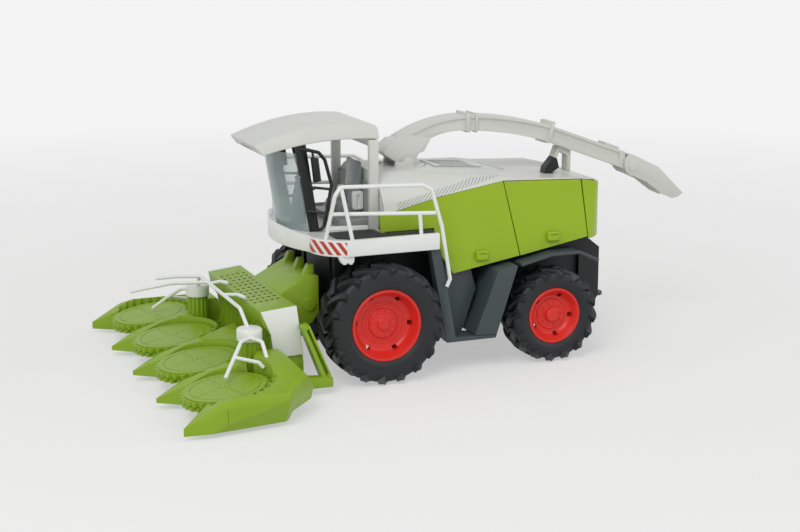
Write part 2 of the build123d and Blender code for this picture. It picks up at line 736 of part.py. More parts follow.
def cap_core(inset):
    """The rear cap's body, moved in by inset, as an extruded side view cut to its other two views."""
    seam_shift = 3.0 if inset else -panel_gap     # the hollow runs out through the open front
    with BuildPart() as core:
        with BuildSketch(side(0)):
            with BuildLine():
                Polyline(
                    (-190.8 + inset, 92.5 + inset), (cap_seam_bottom[0] + seam_shift, 92.5 + inset),
                    (cap_seam_top[0] + seam_shift, 140 - inset), (-189.0 + inset, 140 - inset),
                    (-189.0 + inset, 134.2 - inset),
                )
                ThreePointArc(
                    (-189.0 + inset, 134.2 - inset), (-195.0 + inset, 110), (-190.8 + inset, 92.5 + inset)
                )
            make_face()
        extrude(amount=body_half_width, both=True)
        with BuildSketch(cross(-200)):
            Polygon(
                (-panel_y(90, inset), 90), (panel_y(90, inset), 90), (panel_y(141, inset), 141),
                (-panel_y(141, inset), 141), align=None,
            )
        extrude(amount=60, mode=Mode.INTERSECT)
        with BuildSketch(plan(80)):
            with BuildLine():
                Polyline((-174.5, -60), (-150, -60), (-150, 60), (-174.5, 60))
                ThreePointArc(
                    (-174.5, 60 - inset), (-187.0 + 0.8 * inset, 48.5 - 0.8 * inset), (-194.5 + inset, 30)
                )
                ThreePointArc((-194.5 + inset, 30), (-196.5 + inset, 0), (-194.5 + inset, -30))
                ThreePointArc(
                    (-194.5 + inset, -30), (-187.0 + 0.8 * inset, 0.8 * inset - 48.5), (-174.5, inset - 60)
                )
                if inset:
                    Line((-174.5, 60), (-174.5, 60 - inset))
                    Line((-174.5, -60), (-174.5, inset - 60))
            make_face()
        extrude(amount=80, mode=Mode.INTERSECT)
    return core.part


outer_cap, inner_cap = cap_core(0), cap_core(cap_wall)
with BuildPart() as rear_cap:
    add(outer_cap)
    add(inner_cap, mode=Mode.SUBTRACT)
    # The hood lies on the cap; open front, and a window for the rear grille.
    with BuildSketch(side(0)):
        Polygon(
            (cap_seam_top[0] + 5, cap_seam_top[1] - hood_gap + 1.0), (-200, 132.2), (-200, 150),
            (-160, 150), align=None,
        )
    extrude(amount=body_half_width, both=True, mode=Mode.SUBTRACT)
    with BuildSketch(cross(-210)):
        with Locations((0, 111)):
            RectangleRounded(60, 26, 4)
    extrude(amount=30, mode=Mode.SUBTRACT)
    # Notch over the chassis rails.
    with BuildSketch(cross(tail_ahead - 0.3)):
        with Locations((0, tub_top)):
            Rectangle(2 * rail_outer + 0.4, 0.6)
        with Locations((0, tub_top - 2)):
            Rectangle(2 * rail_outer + 0.4, 4)
    extrude(amount=20, mode=Mode.SUBTRACT)
save(rear_cap.part, "rear_cap")

with BuildPart() as rear_grille:
    with BuildSketch(cross(-191.5)):
        with Locations((0, 111)):
            RectangleRounded(59, 25, 4)
    extrude(amount=2.5)
save(rear_grille.part, "rear_grille")

with BuildPart() as engine:
    with BuildSketch(side(0)):
        Polygon(
            (-98, tub_bottom + floor_thickness), (-130, tub_bottom + floor_thickness), (-130, 45),
            (-154, 45), (-154, tub_bottom + floor_thickness), (-166, tub_bottom + floor_thickness),
            (-166, 118), (-98, 122), align=None,
        )
    extrude(amount=rail_inner - 2, both=True)
save(engine.part, "engine_block")

# ---------------------------------------------------------------- fenders, steps, boxes
with BuildPart() as fender:
    with BuildSketch(side(44)):
        Polygon(
            (-113.5, 79.5), (-139, shelf_bottom - 0.2), (-163, shelf_bottom - 0.2), (-180, 77.6),
            (-178.5, 75.4), (-162.6, shelf_bottom - 2.6), (-139.2, shelf_bottom - 2.6), (-113.5, 77.0),
            align=None,
        )
    extrude(amount=-24)
save_both(fender.part, "rear_fenders")

box_outer = 72.0
with BuildPart() as side_box:
    with BuildSketch(side(rail_outer)):
        Polygon((-92.0, 76.3), (-108.6, 79.3), (-91.5, 27.5), (-73.4, 28.5), align=None)
    extrude(amount=rail_outer - box_outer)
save_both(side_box.part, "side_boxes")

leg = ((-37.7, 96.8), (-45.4, 96.8), (-58.7, 24.8), (-51.2, 24.8))
with BuildPart() as steps:
    with BuildSketch(side(62)):
        Polygon(*leg, align=None)
    extrude(amount=-8.8)
    with BuildSketch(side(52.8)):
        Polygon((-43.0, 94), (-72, 94), (-81.2, 60), (-69.0, 26), (-58, 26), align=None)
    extrude(amount=-2.2)
    with BuildSketch(side(54)):
        Polygon((-52, 24.8), (-52, 28.2), (-70.6, 28.2), (-92, 27.1), (-91, 24.8), align=None)
    extrude(amount=-17)
    # Bracket back to the chassis rail, and the leg's foot on the wall.
    with BuildSketch(side(rail_outer)):
        Polygon((-58, 40), (-66, 40), (-66, 60), (-58, 60), align=None)
    extrude(amount=rail_outer - 54)
    with BuildSketch(side(54)):
        Polygon((-40.5, 92), (-45.6, 92), (-45.6, 96.8), (-40.5, 96.8), align=None)
    extrude(amount=-10)
save_both(steps.part, "side_steps")

hitch_bore_radius = 2.2
hitch_thickness = 3.0
hitch_ahead = -214.0
with BuildPart() as hitch:
    with BuildSketch(plan(tail_box[3] - hitch_thickness)):
        with Locations((hitch_ahead, 0)):
            Circle(5.5)
        Polygon((hitch_ahead, -4.5), (hitch_ahead, 4.5), (-186, 9), (-186, -9), align=None)
        with Locations((hitch_ahead, 0)):
            Circle(hitch_bore_radius, mode=Mode.SUBTRACT)
    extrude(amount=hitch_thickness)
save(hitch.part, "tow_hitch")

with BuildPart() as exhaust:
    with BuildSketch(side(29)):
        Polygon(
            (-150.5, 138.8), (-151.5, 144.5), (-158.5, 152.5), (-161.5, 150.8), (-163.3, 143.8),
            (-157.5, 140.4), (-159.8, 138.8), align=None,
        )
    extrude(amount=8)
    add(hood.part, mode=Mode.SUBTRACT)
save(exhaust.part, "exhaust_stack")

# ---------------------------------------------------------------- hood grille, struts, spout rest
comb_radius, comb_wall, comb_depth = 1.4, 0.3, 0.8    # half of a cell's pitch, and its border
comb_rows, comb_columns = 12, 11
strut_radius = 0.8
grille_lean = atan2(hood_middle_z(grille_rear) - hood_middle_z(grille_front), grille_front - grille_rear)
# Top face of the grille: local x goes forward down it.
grille_plane = Plane(
    origin=at(
        (grille_front + grille_rear) / 2, 0,
        (hood_middle_z(grille_front) + hood_middle_z(grille_rear)) / 2 + grille_thickness - grille_sink,
    ),
    x_dir=(cos(grille_lean), 0, -sin(grille_lean)), z_dir=(sin(grille_lean), 0, cos(grille_lean)),
)
with BuildPart() as hood_grille:
    with BuildSketch(side(0)):
        Polygon(
            (grille_front, hood_middle_z(grille_front) + grille_thickness - grille_sink),
            (grille_front, hood_middle_z(grille_front) - grille_sink),
            (grille_rear, hood_middle_z(grille_rear) - grille_sink),
            (grille_rear, hood_middle_z(grille_rear) + grille_thickness - grille_sink),
            align=None,
        )
    extrude(amount=grille_half, both=True)
    with BuildSketch(grille_plane):
        with HexLocations(comb_radius, comb_rows, comb_columns):
            RegularPolygon(comb_radius - comb_wall, 6, major_radius=False, rotation=30)
    extrude(amount=-comb_depth, mode=Mode.SUBTRACT)
save(hood_grille.part, "hood_grille")

# Thin rod that stands out of the hood beside the spout.
with BuildPart() as hood_strut:
    add(tube([at(-101, 12, 149.6), at(-124, 12, 142.5)], 0, strut_radius))
    add(hood.part, mode=Mode.SUBTRACT)
save(hood_strut.part, "hood_strut")

spout_half = 9.0
rest_gap = 0.4
bottom_end, bottom_knee = (-238.0, 133.6), (-164.0, 161.0)


def spout_bottom_z(ahead):
    """Height of the spout's straight underside."""
    slope = (bottom_knee[1] - bottom_end[1]) / (bottom_knee[0] - bottom_end[0])
    return bottom_knee[1] + slope * (ahead - bottom_knee[0])


rest_front, rest_rear = -175.0, -186.0
deck_z = hood_table[4][5]
with BuildPart() as spout_rest:
    with BuildSketch(side(0)):
        Polygon(
            (rest_front + 7.0, deck_z), (rest_front, spout_bottom_z(rest_front) - rest_gap),
            (rest_rear, spout_bottom_z(rest_rear) - rest_gap), (rest_rear, 135.4), (rest_rear + 3, 136.0),
            (rest_rear + 3, spout_bottom_z(rest_rear) - 4.5),
            (rest_front - 1, spout_bottom_z(rest_front) - 4.5), (rest_front + 4.2, deck_z), align=None,
        )
    extrude(amount=5.0, both=True)
    add(hood.part, mode=Mode.SUBTRACT)
save(spout_rest.part, "spout_rest")

# ---------------------------------------------------------------- spout and turret
spout_pivot = (turret_ahead, 152.4)
root_half = 10.4             # the spout's root is a little wider than its duct
cheek_inner, cheek_outer = root_half + side_clearance, root_half + 3.0
ring_gap = 0.3               # under the turning ring
ring_top = seat_z + 2.2
spigot_depth = 5.0
boss_radius_root = 6.2
with BuildPart() as turret:
    with BuildSketch(plan(seat_z + ring_gap)):
        with Locations((turret_ahead, 0)):
            Circle(turret_ring_radius)
    extrude(amount=ring_top - seat_z - ring_gap)
    with BuildSketch(plan(seat_z - spigot_depth)):
        with Locations((turret_ahead, 0)):
            Circle(turret_hole_radius)
    extrude(amount=spigot_depth + 1)
    # Slot that the spout's root swings in.
    with BuildSketch(side(0)):
        with Locations(spout_pivot):
            Circle(boss_radius_root + side_clearance)
    extrude(amount=cheek_inner, both=True, mode=Mode.SUBTRACT)
    for s in (1, -1):
        with BuildSketch(side(s * cheek_outer)):
            with Locations(spout_pivot):
                Circle(4.6)
            Polygon(
                (turret_ahead + 11.0, ring_top - 1.0), (turret_ahead + 10.0, ring_top + 4.5),
                spout_pivot, (turret_ahead - 8.0, ring_top - 1.0), align=None,
            )
        extrude(amount=s * (cheek_outer - cheek_inner))
    with BuildSketch(side(0)):
        with Locations(spout_pivot):
            Circle(2.0)
    extrude(amount=cheek_inner + 0.5, both=True)
save(turret.part, "turret")

hinge = (-240.1, 137.0)
hinge_pin_radius = 1.6
spout_skin = 1.5
mouth_depth_ahead = -205.0   # where the hollow of the mouth ends


def spout_top_z(ahead):
    """Height of the spout's straight top."""
    return 170.9 + (170.9 - 149.2) / (233.0 - 174.0) * (ahead + 174.0)


def spout_profile(inset):
    """Closed side view of the spout's duct, moved in by inset."""
    with BuildLine() as border:
        ThreePointArc((-23.0 - inset, 161.0), (-54.0, 178.6 - inset), (-100.0, 185.4 - inset))
        ThreePointArc((-100.0, 185.4 - inset), (-140.0, 180.2 - inset), (-174.0, 170.9 - inset))
        Line((-174.0, 170.9 - inset), (-233.0, 149.2 - inset))
        Line((-233.0, 149.2 - inset), (-233.0, spout_bottom_z(-233.0) + inset))
        Line((-233.0, spout_bottom_z(-233.0) + inset), (bottom_knee[0], bottom_knee[1] + inset))
        ThreePointArc(
            (bottom_knee[0], bottom_knee[1] + inset), (-128.0, 169.8 + inset), (-90.0, 173.9 + inset)
        )
        ThreePointArc((-90.0, 173.9 + inset), (-75.0, 173.0 + inset), (-62.3, 169.0 + inset))
        Line((-62.3, 169.0 + inset), (-40.0, 161.0 + inset))
        Line((-40.0, 161.0 + inset), (-26.0 - inset, 158.5 + inset))
        Line((-26.0 - inset, 158.5 + inset), (-23.0 - inset, 161.0))
    return border.line.edges()


with BuildPart() as spout:
    with BuildSketch(side(0)):
        add(make_face(spout_profile(0)))
    extrude(amount=spout_half, both=True)
    # Recessed sides between the top and bottom flanges.
    for s in (1, -1):
        with BuildSketch(side(s * spout_half)):
            with BuildLine():
                ThreePointArc((-48.0, 172.6), (-70.0, 180.4), (-100.0, 182.9))
                ThreePointArc((-100.0, 182.9), (-140.0, 177.7), (-174.0, 168.4))
                Line((-174.0, 168.4), (-231.0, 147.4))
                Line((-231.0, 147.4), (-231.0, spout_bottom_z(-231.0) + 1.8))
                Line((-231.0, spout_bottom_z(-231.0) + 1.8), (bottom_knee[0], bottom_knee[1] + 1.8))
                ThreePointArc((bottom_knee[0], bottom_knee[1] + 1.8), (-128.0, 171.6), (-90.0, 175.7))
                Line((-90.0, 175.7), (-70.0, 174.9))
                Line((-70.0, 174.9), (-48.0, 172.6))
            make_face()
        extrude(amount=s * 0.9, mode=Mode.SUBTRACT)
    # Root, wider than the duct, down to the pivot boss.
    with BuildSketch(side(0)):
        with Locations(spout_pivot):
            Circle(boss_radius_root)
        Polygon(
            (-25.5, 159.0), (-23.6, 161.6), (-33.0, 169.6), (-60.5, 170.2), (-62.3, 168.8),
            (-57.2, 160.2), (-52.8, 158.6), (-49.2, 151.0), (-43.2, 147.5), (-38.0, 150.5), align=None,
        )
    extrude(amount=root_half, both=True)
    with BuildSketch(side(0)):
        with Locations(spout_pivot):
            Circle(2.0 + running_clearance)
    extrude(amount=root_half + 1, both=True, mode=Mode.SUBTRACT)
    # Collars that join the duct's lengths.
    for low, high, depth in (
        ((-93.0, 172.4), (-92.6, 187.2), 2.6), ((-100.5, 172.0), (-100.7, 186.6), 1.4),
        ((-161.5, 160.2), (-166.5, 176.6), 3.0),
    ):
        with BuildSketch(side(0)):
            Polygon(low, (low[0] - depth, low[1]), (high[0] - depth, high[1]), high, align=None)
        extrude(amount=spout_half + 1.2, both=True)
    # Hollow mouth, as deep as the straight length.
    with BuildSketch(side(0)):
        Polygon(
            (mouth_depth_ahead, spout_bottom_z(mouth_depth_ahead) + spout_skin),
            (-240.0, spout_bottom_z(-240.0) + spout_skin), (-240.0, spout_top_z(-240.0) - spout_skin),
            (mouth_depth_ahead, spout_top_z(mouth_depth_ahead) - spout_skin), align=None,
        )
    extrude(amount=spout_half - spout_skin - 0.9, both=True, mode=Mode.SUBTRACT)
    # Ears for the flap's hinge.
    for s in (1, -1):
        with BuildSketch(side(s * spout_half)):
            with Locations(hinge):
                Circle(5.2)
            Polygon(
                (-228.0, spout_bottom_z(-228.0)), (-228.0, spout_bottom_z(-228.0) + 12), (-238.0, 141.8),
                (-240.1, 131.8), align=None,
            )
        extrude(amount=s * 1.6)
        with BuildSketch(side(s * (spout_half + 1))):
            with Locations(hinge):
                Circle(hinge_pin_radius + running_clearance)
        extrude(amount=s * 5, mode=Mode.SUBTRACT)
save(spout.part, "spout")

flap_inner = spout_half + side_clearance
flap_outer = flap_inner + 1.3
flap_shape = (
    (-236.2, 147.4), (-232.6, 143.6), (-231.7, 137.8), (-233.1, 133.7), (-236.4, 130.6), (-241.6, 128.7),
    (-253.4, 123.2), (-267.3, 112.8), (-276.4, 108.6), (-282.5, 109.2), (flap_end_ahead, 112.3),
    (-263.5, 135.1),
)
with BuildPart() as flap:
    for s in (1, -1):
        with BuildSketch(side(s * flap_outer)):
            Polygon(*flap_shape, align=None)
        extrude(amount=s * (flap_outer - flap_inner))
        with BuildSketch(side(s * flap_outer)):
            with Locations(hinge):
                Circle(hinge_pin_radius)
        extrude(amount=s * (flap_outer - spout_half + 1.2))
        with BuildSketch(side(s * (flap_outer + 0.6))):
            with Locations(hinge):
                Circle(4.2)
        extrude(amount=s * 1.0)
    with BuildSketch(side(0)):
        Polygon(
            (-240.0, 146.4), (-263.5, 135.1), (flap_end_ahead, 112.3), (-286.2, 111.4),
            (-263.0, 133.7), (-239.4, 145.0), align=None,
        )
    extrude(amount=flap_outer, both=True)
save(flap.part, "spout_flap")

# ---------------------------------------------------------------- header
lift_slot_gap = 0.6
house_front_top, house_rear_top = (93.0, 61.4), (66.4, 64.2)
house_front_low, house_rear_low = (84.0, 22.0), (61.4, 22.0)
house_half = 69.4
house_front = ((93.0, 9.0), (87.0, 22.0), (84.6, 30.0), (85.5, 44.0), (91.5, 52.0))   # its hollow front
with BuildPart() as feeder:
    with BuildSketch(side(0)):
        Polygon(
            (36.5, 60.0), (36.5, 75.5), (42.0, 77.0), (house_rear_top[0] - 0.1, house_rear_top[1]),
            (61.8, 27.0), (41.0, 41.0), (36.5, 48.0), align=None,
        )
    extrude(amount=feeder_half, both=True)
    for y in (-22.0, 2.0, 24.0):
        with BuildSketch(side(y + 3)):
            Polygon((38.5, 74), (38.5, 83.5), (42.5, 83.5), (46.0, 76.5), (46.0, 72), align=None)
        extrude(amount=6)
    for s in (1, -1):
        with BuildSketch(side(s * feeder_half)):
            with Locations((pivot_ahead, pivot_z)):
                Circle(5.2)
        extrude(amount=-s * 1.2)
    # Slot for the chassis tongue, and the bore for its cross pin.
    with BuildSketch(side(0)):
        with Locations((pivot_ahead, pivot_z)):
            Circle(5.0 + lift_slot_gap)
        Polygon(
            (30, 42), (pivot_ahead, pivot_z - 6.5), (pivot_ahead + 3, pivot_z + 5), (34, 72), (30, 72),
            align=None,
        )
    extrude(amount=tongue_half + lift_slot_gap, both=True, mode=Mode.SUBTRACT)
    with BuildSketch(side(0)):
        with Locations((pivot_ahead, pivot_z)):
            Circle(pivot_pin_radius + running_clearance)
    extrude(amount=feeder_half - 4.0 + pin_end_gap, both=True, mode=Mode.SUBTRACT)
save(feeder.part, "feeder_house")

disc_ahead, disc_top = 131.2, 22.5
disc_pitch = 72.6
disc_radius = 31.5
disc_thickness = 7.4
disc_tilt = 7.0
disc_clearance = 1.0
disc_rows = [(k - 1.5) * disc_pitch for k in range(4)]
spindle_radius = 2.5
hub_radius = 8.0
hub_height = 2.6
divider_rows = [(k - 1) * disc_pitch for k in range(3)]


def disc_plane(y, down=0.0):
    """Plane of a disc's top face, or below it: local x goes forward down the tilt."""
    lean = radians(disc_tilt)
    return Plane(
        origin=at(disc_ahead - down * sin(lean), y, disc_top - down * cos(lean)),
        x_dir=(cos(lean), 0, -sin(lean)), z_dir=(sin(lean), 0, cos(lean)),
    )


base_low, base_high = 5.0, 9.0
rib_count, rib_pitch, rib_wall, rib_rise = 12, 11.0, 1.6, 2.0
hole_rows, hole_columns = 5, 11
hole_row_pitch, hole_pitch, hole_size, hole_depth = 4.4, 8.8, 2.4, 6.0
house_top_lean = atan2(house_rear_top[1] - house_front_top[1], house_front_top[0] - house_rear_top[0])
# Local x goes forward down the top of the house.
house_top_plane = Plane(
    origin=at((house_front_top[0] + house_rear_top[0]) / 2, -3.0, (house_front_top[1] + house_rear_top[1]) / 2),
    x_dir=(cos(house_top_lean), 0, -sin(house_top_lean)),
    z_dir=(sin(house_top_lean), 0, cos(house_top_lean)),
)
with BuildPart() as header_frame:
    with BuildSketch(side(0)):
        Polygon(
            house_front_top, house_rear_top, house_rear_low, (61.4, base_low), (120, base_low),
            (120, base_high), *house_front, align=None,
        )
    extrude(amount=house_half, both=True)
    with BuildSketch(plan(base_low)):
        with Locations((97, 0)):
            Rectangle(46, 2 * (header_half_width - 12))
        with Locations(*[(disc_ahead - 8, y) for y in disc_rows]):
            Rectangle(16, 2 * hub_radius)
        with Locations(*[(disc_ahead, y) for y in disc_rows]):
            Circle(hub_radius)
    extrude(amount=base_high - base_low)
    for y in disc_rows:
        with BuildSketch(disc_plane(y, disc_thickness + hub_height)):
            Circle(hub_radius)
        extrude(amount=hub_height - side_clearance)
        with BuildSketch(disc_plane(y, disc_thickness + hub_height)):
            Circle(hub_radius - 1)
        extrude(amount=-3.0)
        with BuildSketch(disc_plane(y, disc_thickness + hub_height)):
            Circle(spindle_radius)
        extrude(amount=hub_height + disc_thickness - 2.5)
    # Ribs across the hollow front.
    for k in range(rib_count):
        with BuildSketch(side((k - (rib_count - 1) / 2) * rib_pitch + rib_wall / 2)):
            Polygon(
                *[(ahead + rib_rise, z) for ahead, z in house_front[1:]], (88.0, 50.0), (82.0, 40.0),
                (82.0, 24.0), align=None,
            )
        extrude(amount=rib_wall)
    # Rows of small holes through the top.
    with BuildSketch(house_top_plane):
        with GridLocations(hole_row_pitch, hole_pitch, hole_rows, hole_columns):
            Rectangle(hole_size, hole_size, rotation=45)
    extrude(amount=-hole_depth, mode=Mode.SUBTRACT)
save(header_frame.part, "header_frame")

tooth_count = 30
tooth_depth = 2.6
tooth_layer = 3.0            # each of the two toothed rings; they stand half a tooth apart
ring_groove = 25.0
slot_row = ((-3.2, -1.0), (0.0, 0.4), (3.4, -0.6))      # small slots at the middle of a disc


def tooth_ring(turn):
    """Points of a saw-toothed ring."""
    out = []
    for k in range(tooth_count):
        start = (k + turn) * 360 / tooth_count
        for share, ring in ((0.0, disc_radius - tooth_depth), (0.3, disc_radius), (0.62, disc_radius)):
            a = radians(start + share * 360 / tooth_count)
            out.append((ring * cos(a), ring * sin(a)))
    return out


for k, y in enumerate(disc_rows):
    with BuildPart() as disc:
        with BuildSketch(disc_plane(y)):
            Circle(disc_radius - tooth_depth - 0.2)
        extrude(amount=-disc_thickness)
        for top, turn in ((disc_thickness - 2 * tooth_layer - 0.4, 0.0), (disc_thickness - tooth_layer, 0.5)):
            with BuildSketch(disc_plane(y, top)):
                Polygon(*tooth_ring(turn), align=None)
            extrude(amount=-tooth_layer)
        # Fine ring, spokes and slots on the top face.
        with BuildSketch(disc_plane(y)):
            Circle(ring_groove)
            Circle(ring_groove - 0.6, mode=Mode.SUBTRACT)
        extrude(amount=-0.35, mode=Mode.SUBTRACT)
        with BuildSketch(disc_plane(y)):
            for spoke in (15.0, 105.0):
                a = radians(spoke)
                with Locations((15.5 * cos(a), 15.5 * sin(a)), (-15.5 * cos(a), -15.5 * sin(a))):
                    Rectangle(18.0, 0.4, rotation=spoke)
        extrude(amount=-0.25, mode=Mode.SUBTRACT)
        with BuildSketch(disc_plane(y)):
            with Locations(*slot_row):
                Rectangle(1.0, 2.0)
        extrude(amount=-1.0, mode=Mode.SUBTRACT)
        with BuildSketch(disc_plane(y, disc_thickness)):
            Circle(spindle_radius + running_clearance)
        extrude(amount=disc_thickness - 2.0, mode=Mode.SUBTRACT)
    save(disc.part, f"cutting_disc_{k + 1}")


# Upright cylinders that keep the dividers and hoods clear of the turning discs.
with BuildPart() as disc_room:
    with BuildSketch(plan(-5)):
        with Locations(*[(disc_ahead + 0.5, y) for y in disc_rows]):
            Circle(disc_radius + disc_clearance + 0.6)
    extrude(amount=60)

drum_ahead, drum_y, drum_radius = 102.0, 70.5, 8.0
drum_high, cap_high = 43.0, 52.0
# ahead, half width, low z, high z, half width of the ridge
divider_table = (
    (divider_tip_ahead, 0.8, 5.0, 8.0, 0.6),
    (150.0, 11.0, 3.6, 17.5, 7.0),
    (131.2, 11.0, 5.0, 24.5, 4.0),
    (108.0, 20.0, 9.2, 29.5, 9.0),
    (90.0, 24.0, 9.2, 34.0, 12.0),
)
lip_wall, lip_behind, lip_top = 1.6, -12.0, 29.0
with BuildPart() as dividers:
    for y in divider_rows:
        for ahead, half, low, high, ridge in divider_table[: None if y == 0 else -1]:
            with BuildSketch(cross(ahead)):
                Polygon(
                    (y - half, low), (y + half, low), (y + ridge, high), (y - ridge, high), align=None
                )
        loft(ruled=True)
    # Crescent lips round the back of the inner discs.
    for y in disc_rows[1:3]:
        with BuildSketch(plan(base_high + 0.2)):
            with Locations((disc_ahead + 0.5, y)):
                Circle(disc_radius + disc_clearance + 0.6 + lip_wall)
            with Locations((disc_ahead + 40 + lip_behind, y)):
                Rectangle(80, 100, mode=Mode.SUBTRACT)
        extrude(amount=lip_top - base_high - 0.2)
    add(disc_room.part, mode=Mode.SUBTRACT)
    with BuildSketch(side(0)):
        Polygon(
            house_front_top, (60, 62), (60, 0), (122, 0), (122, base_high),
            house_front[0], *[(ahead + rib_rise, z) for ahead, z in house_front[1:]], align=None,
        )
    extrude(amount=house_half + 30, both=True, mode=Mode.SUBTRACT)
    # Seats of the guide drums.
    with BuildSketch(plan(0)):
        with Locations((drum_ahead, drum_y), (drum_ahead, -drum_y)):
            Circle(drum_radius + 0.2)
    extrude(amount=drum_high, mode=Mode.SUBTRACT)
save(dividers.part, "dividers")

hood_outer = header_half_width
scallop_ring, scallop_radius, scallop_floor = 33.6, 3.2, 12.0
scallop_angles = [62.0 + 11.5 * k for k in range(9)]
with BuildPart() as end_hood:
    with BuildSketch(plan(3.5)):
        Polygon(
            (divider_tip_ahead, 147.6), (divider_tip_ahead - 2, 146.2), (150.0, 134.0), (131.0, 126.0),
            (112.0, 104.0), (100.0, 80.0), (73.0, 80.0), (71.0, 120.0), (98.0, hood_outer - 1),
            (141.0, hood_outer), align=None,
        )
    extrude(amount=50)
    with BuildSketch(side(0)):
        Polygon(
            (divider_tip_ahead + 1, 3), (divider_tip_ahead + 1, 8.5), (146, 23), (118, 31), (99, 37),
            (84, 37), (70, 20), (70, 8), (100, 3), align=None,
        )
    extrude(amount=-160, mode=Mode.INTERSECT)
    with BuildSketch(cross(60)):
        Polygon(
            (hood_outer + 2, 3), (hood_outer + 2, 17), (146.5, 25.5), (112, 34), (96, 37), (70, 37),
            (70, 3), align=None,
        )
    extrude(amount=120, mode=Mode.INTERSECT)
    add(disc_room.part, mode=Mode.SUBTRACT)
    # Scalloped wall round the outer disc.
    with BuildSketch(plan(scallop_floor)):
        with Locations(*[
            (disc_ahead + 0.5 + scallop_ring * cos(radians(a)), disc_rows[3] + scallop_ring * sin(radians(a)))
            for a in scallop_angles
        ]):
            Circle(scallop_radius)
    extrude(amount=40, mode=Mode.SUBTRACT)
    with BuildSketch(side(0)):
        Polygon((60, 2), (121, 2), (121, base_high), (60, base_high), align=None)
    extrude(amount=-(header_half_width - 12) - 0.3, mode=Mode.SUBTRACT)
    with BuildSketch(plan(0)):
        with Locations((75, 40)):
            Rectangle(50, 2 * (house_half + 2.4 - 40))
    extrude(amount=60, mode=Mode.SUBTRACT)
save_both(end_hood.part, "end_hoods")

plate_shape = ((93.2, 62.0), (66.7, 64.6), (61.9, 28.3), (84.0, 27.5), (86.2, 45.0))
with BuildPart() as end_plates:
    for s in (1, -1):
        with BuildSketch(side(s * (house_half + 2.0))):
            Polygon(*plate_shape, align=None)
        extrude(amount=s * 2.0)
save(end_plates.part, "end_plates")

flute_count, flute_radius = 14, 0.9
with BuildPart() as drums:
    for s in (1, -1):
        with BuildSketch(plan(base_high)):
            with Locations((drum_ahead, s * drum_y)):
                Circle(drum_radius - flute_radius)
                with PolarLocations(drum_radius - flute_radius, flute_count):
                    Circle(flute_radius)
        extrude(amount=drum_high - base_high)
save(drums.part, "guide_drums")
cap_rim = 1.2
with BuildPart() as drum_caps:
    for s in (1, -1):
        with BuildSketch(plan(drum_high)):
            with Locations((drum_ahead, s * drum_y)):
                Circle(drum_radius + 1.2)
        extrude(amount=cap_high - drum_high)
    chamfer(drum_caps.edges().group_by(Axis.Z)[-1], length=cap_rim)
save(drum_caps.part, "drum_caps")

arm_channel_depth = 6.0
with BuildPart() as side_arm:
    with BuildSketch(side(82)):
        Polygon((66.0, 50.5), (60.5, 52.0), (44.6, 13.5), (44.6, 6.0), (49.0, 6.0), align=None)
    extrude(amount=82 - house_half - 2.2)
    # The arm is a channel that opens outward.
    with BuildSketch(side(82)):
        Polygon((62.8, 48.4), (61.4, 49.6), (46.4, 15.0), (48.2, 12.6), align=None)
    extrude(amount=arm_channel_depth, mode=Mode.SUBTRACT)
    with BuildSketch(side(86)):
        Polygon((70.5, 6), (44.6, 6), (44.6, 12.5), (70.5, 15), align=None)
    extrude(amount=86 - 78)
save_both(side_arm.part, "side_arms")

guard_radius = 1.4
bar_ahead, bar_z, bar_end = 104.0, 62.6, 55.3
# y of each finger's root on the bar, then the points that it runs through
finger_table = (
    (-52.0, (120.0, -60.0, 62.2), (135.0, -68.8, 60.0)),
    (-31.0, (132.0, -36.0, 63.0), (161.8, -42.0, 58.0)),
    (-7.0, (122.0, -8.5, 61.0), (139.7, -9.8, 55.0)),
    (22.0, (116.0, 23.0, 61.0), (127.3, 25.0, 55.0)),
    (-26.0, (97.0, -20.0, 65.0), (92.4, -14.3, 64.4)),
    (12.0, (97.0, 26.0, 65.2), (93.4, 34.3, 64.4)),
)
with BuildPart() as crop_guards:
    add(tube(
        [at(drum_ahead, -drum_y, cap_high - 3), at(bar_ahead, -bar_end, bar_z),
         at(bar_ahead, bar_end, bar_z), at(drum_ahead, drum_y, cap_high - 3)], 3.0, guard_radius,
    ))
    for root_y, *points in finger_table:
        add(tube([at(bar_ahead, root_y, bar_z)] + [at(*p) for p in points], 4.0, guard_radius))
    for s in (1, -1):
        add(tube([at(97, s * 100, 32), at(98, s * 88, 45.5), at(104, s * 79.5, 47), at(112, s * 84, 46),
                  at(121, s * 95, 37), at(130, s * 105, 27)], 2.0, guard_radius))
        add(tube([at(120, s * 93.8, 38), at(104, s * 99, 34), at(101, s * 101, 30.5)], 2.0, guard_radius))
    for other in (drum_caps.part, end_hood.part, mirror(end_hood.part, about=Plane.XZ)):
        add(other, mode=Mode.SUBTRACT)
save(crop_guards.part, "crop_guards")
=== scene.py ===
import json
import math

import bpy
from mathutils import Matrix, Vector


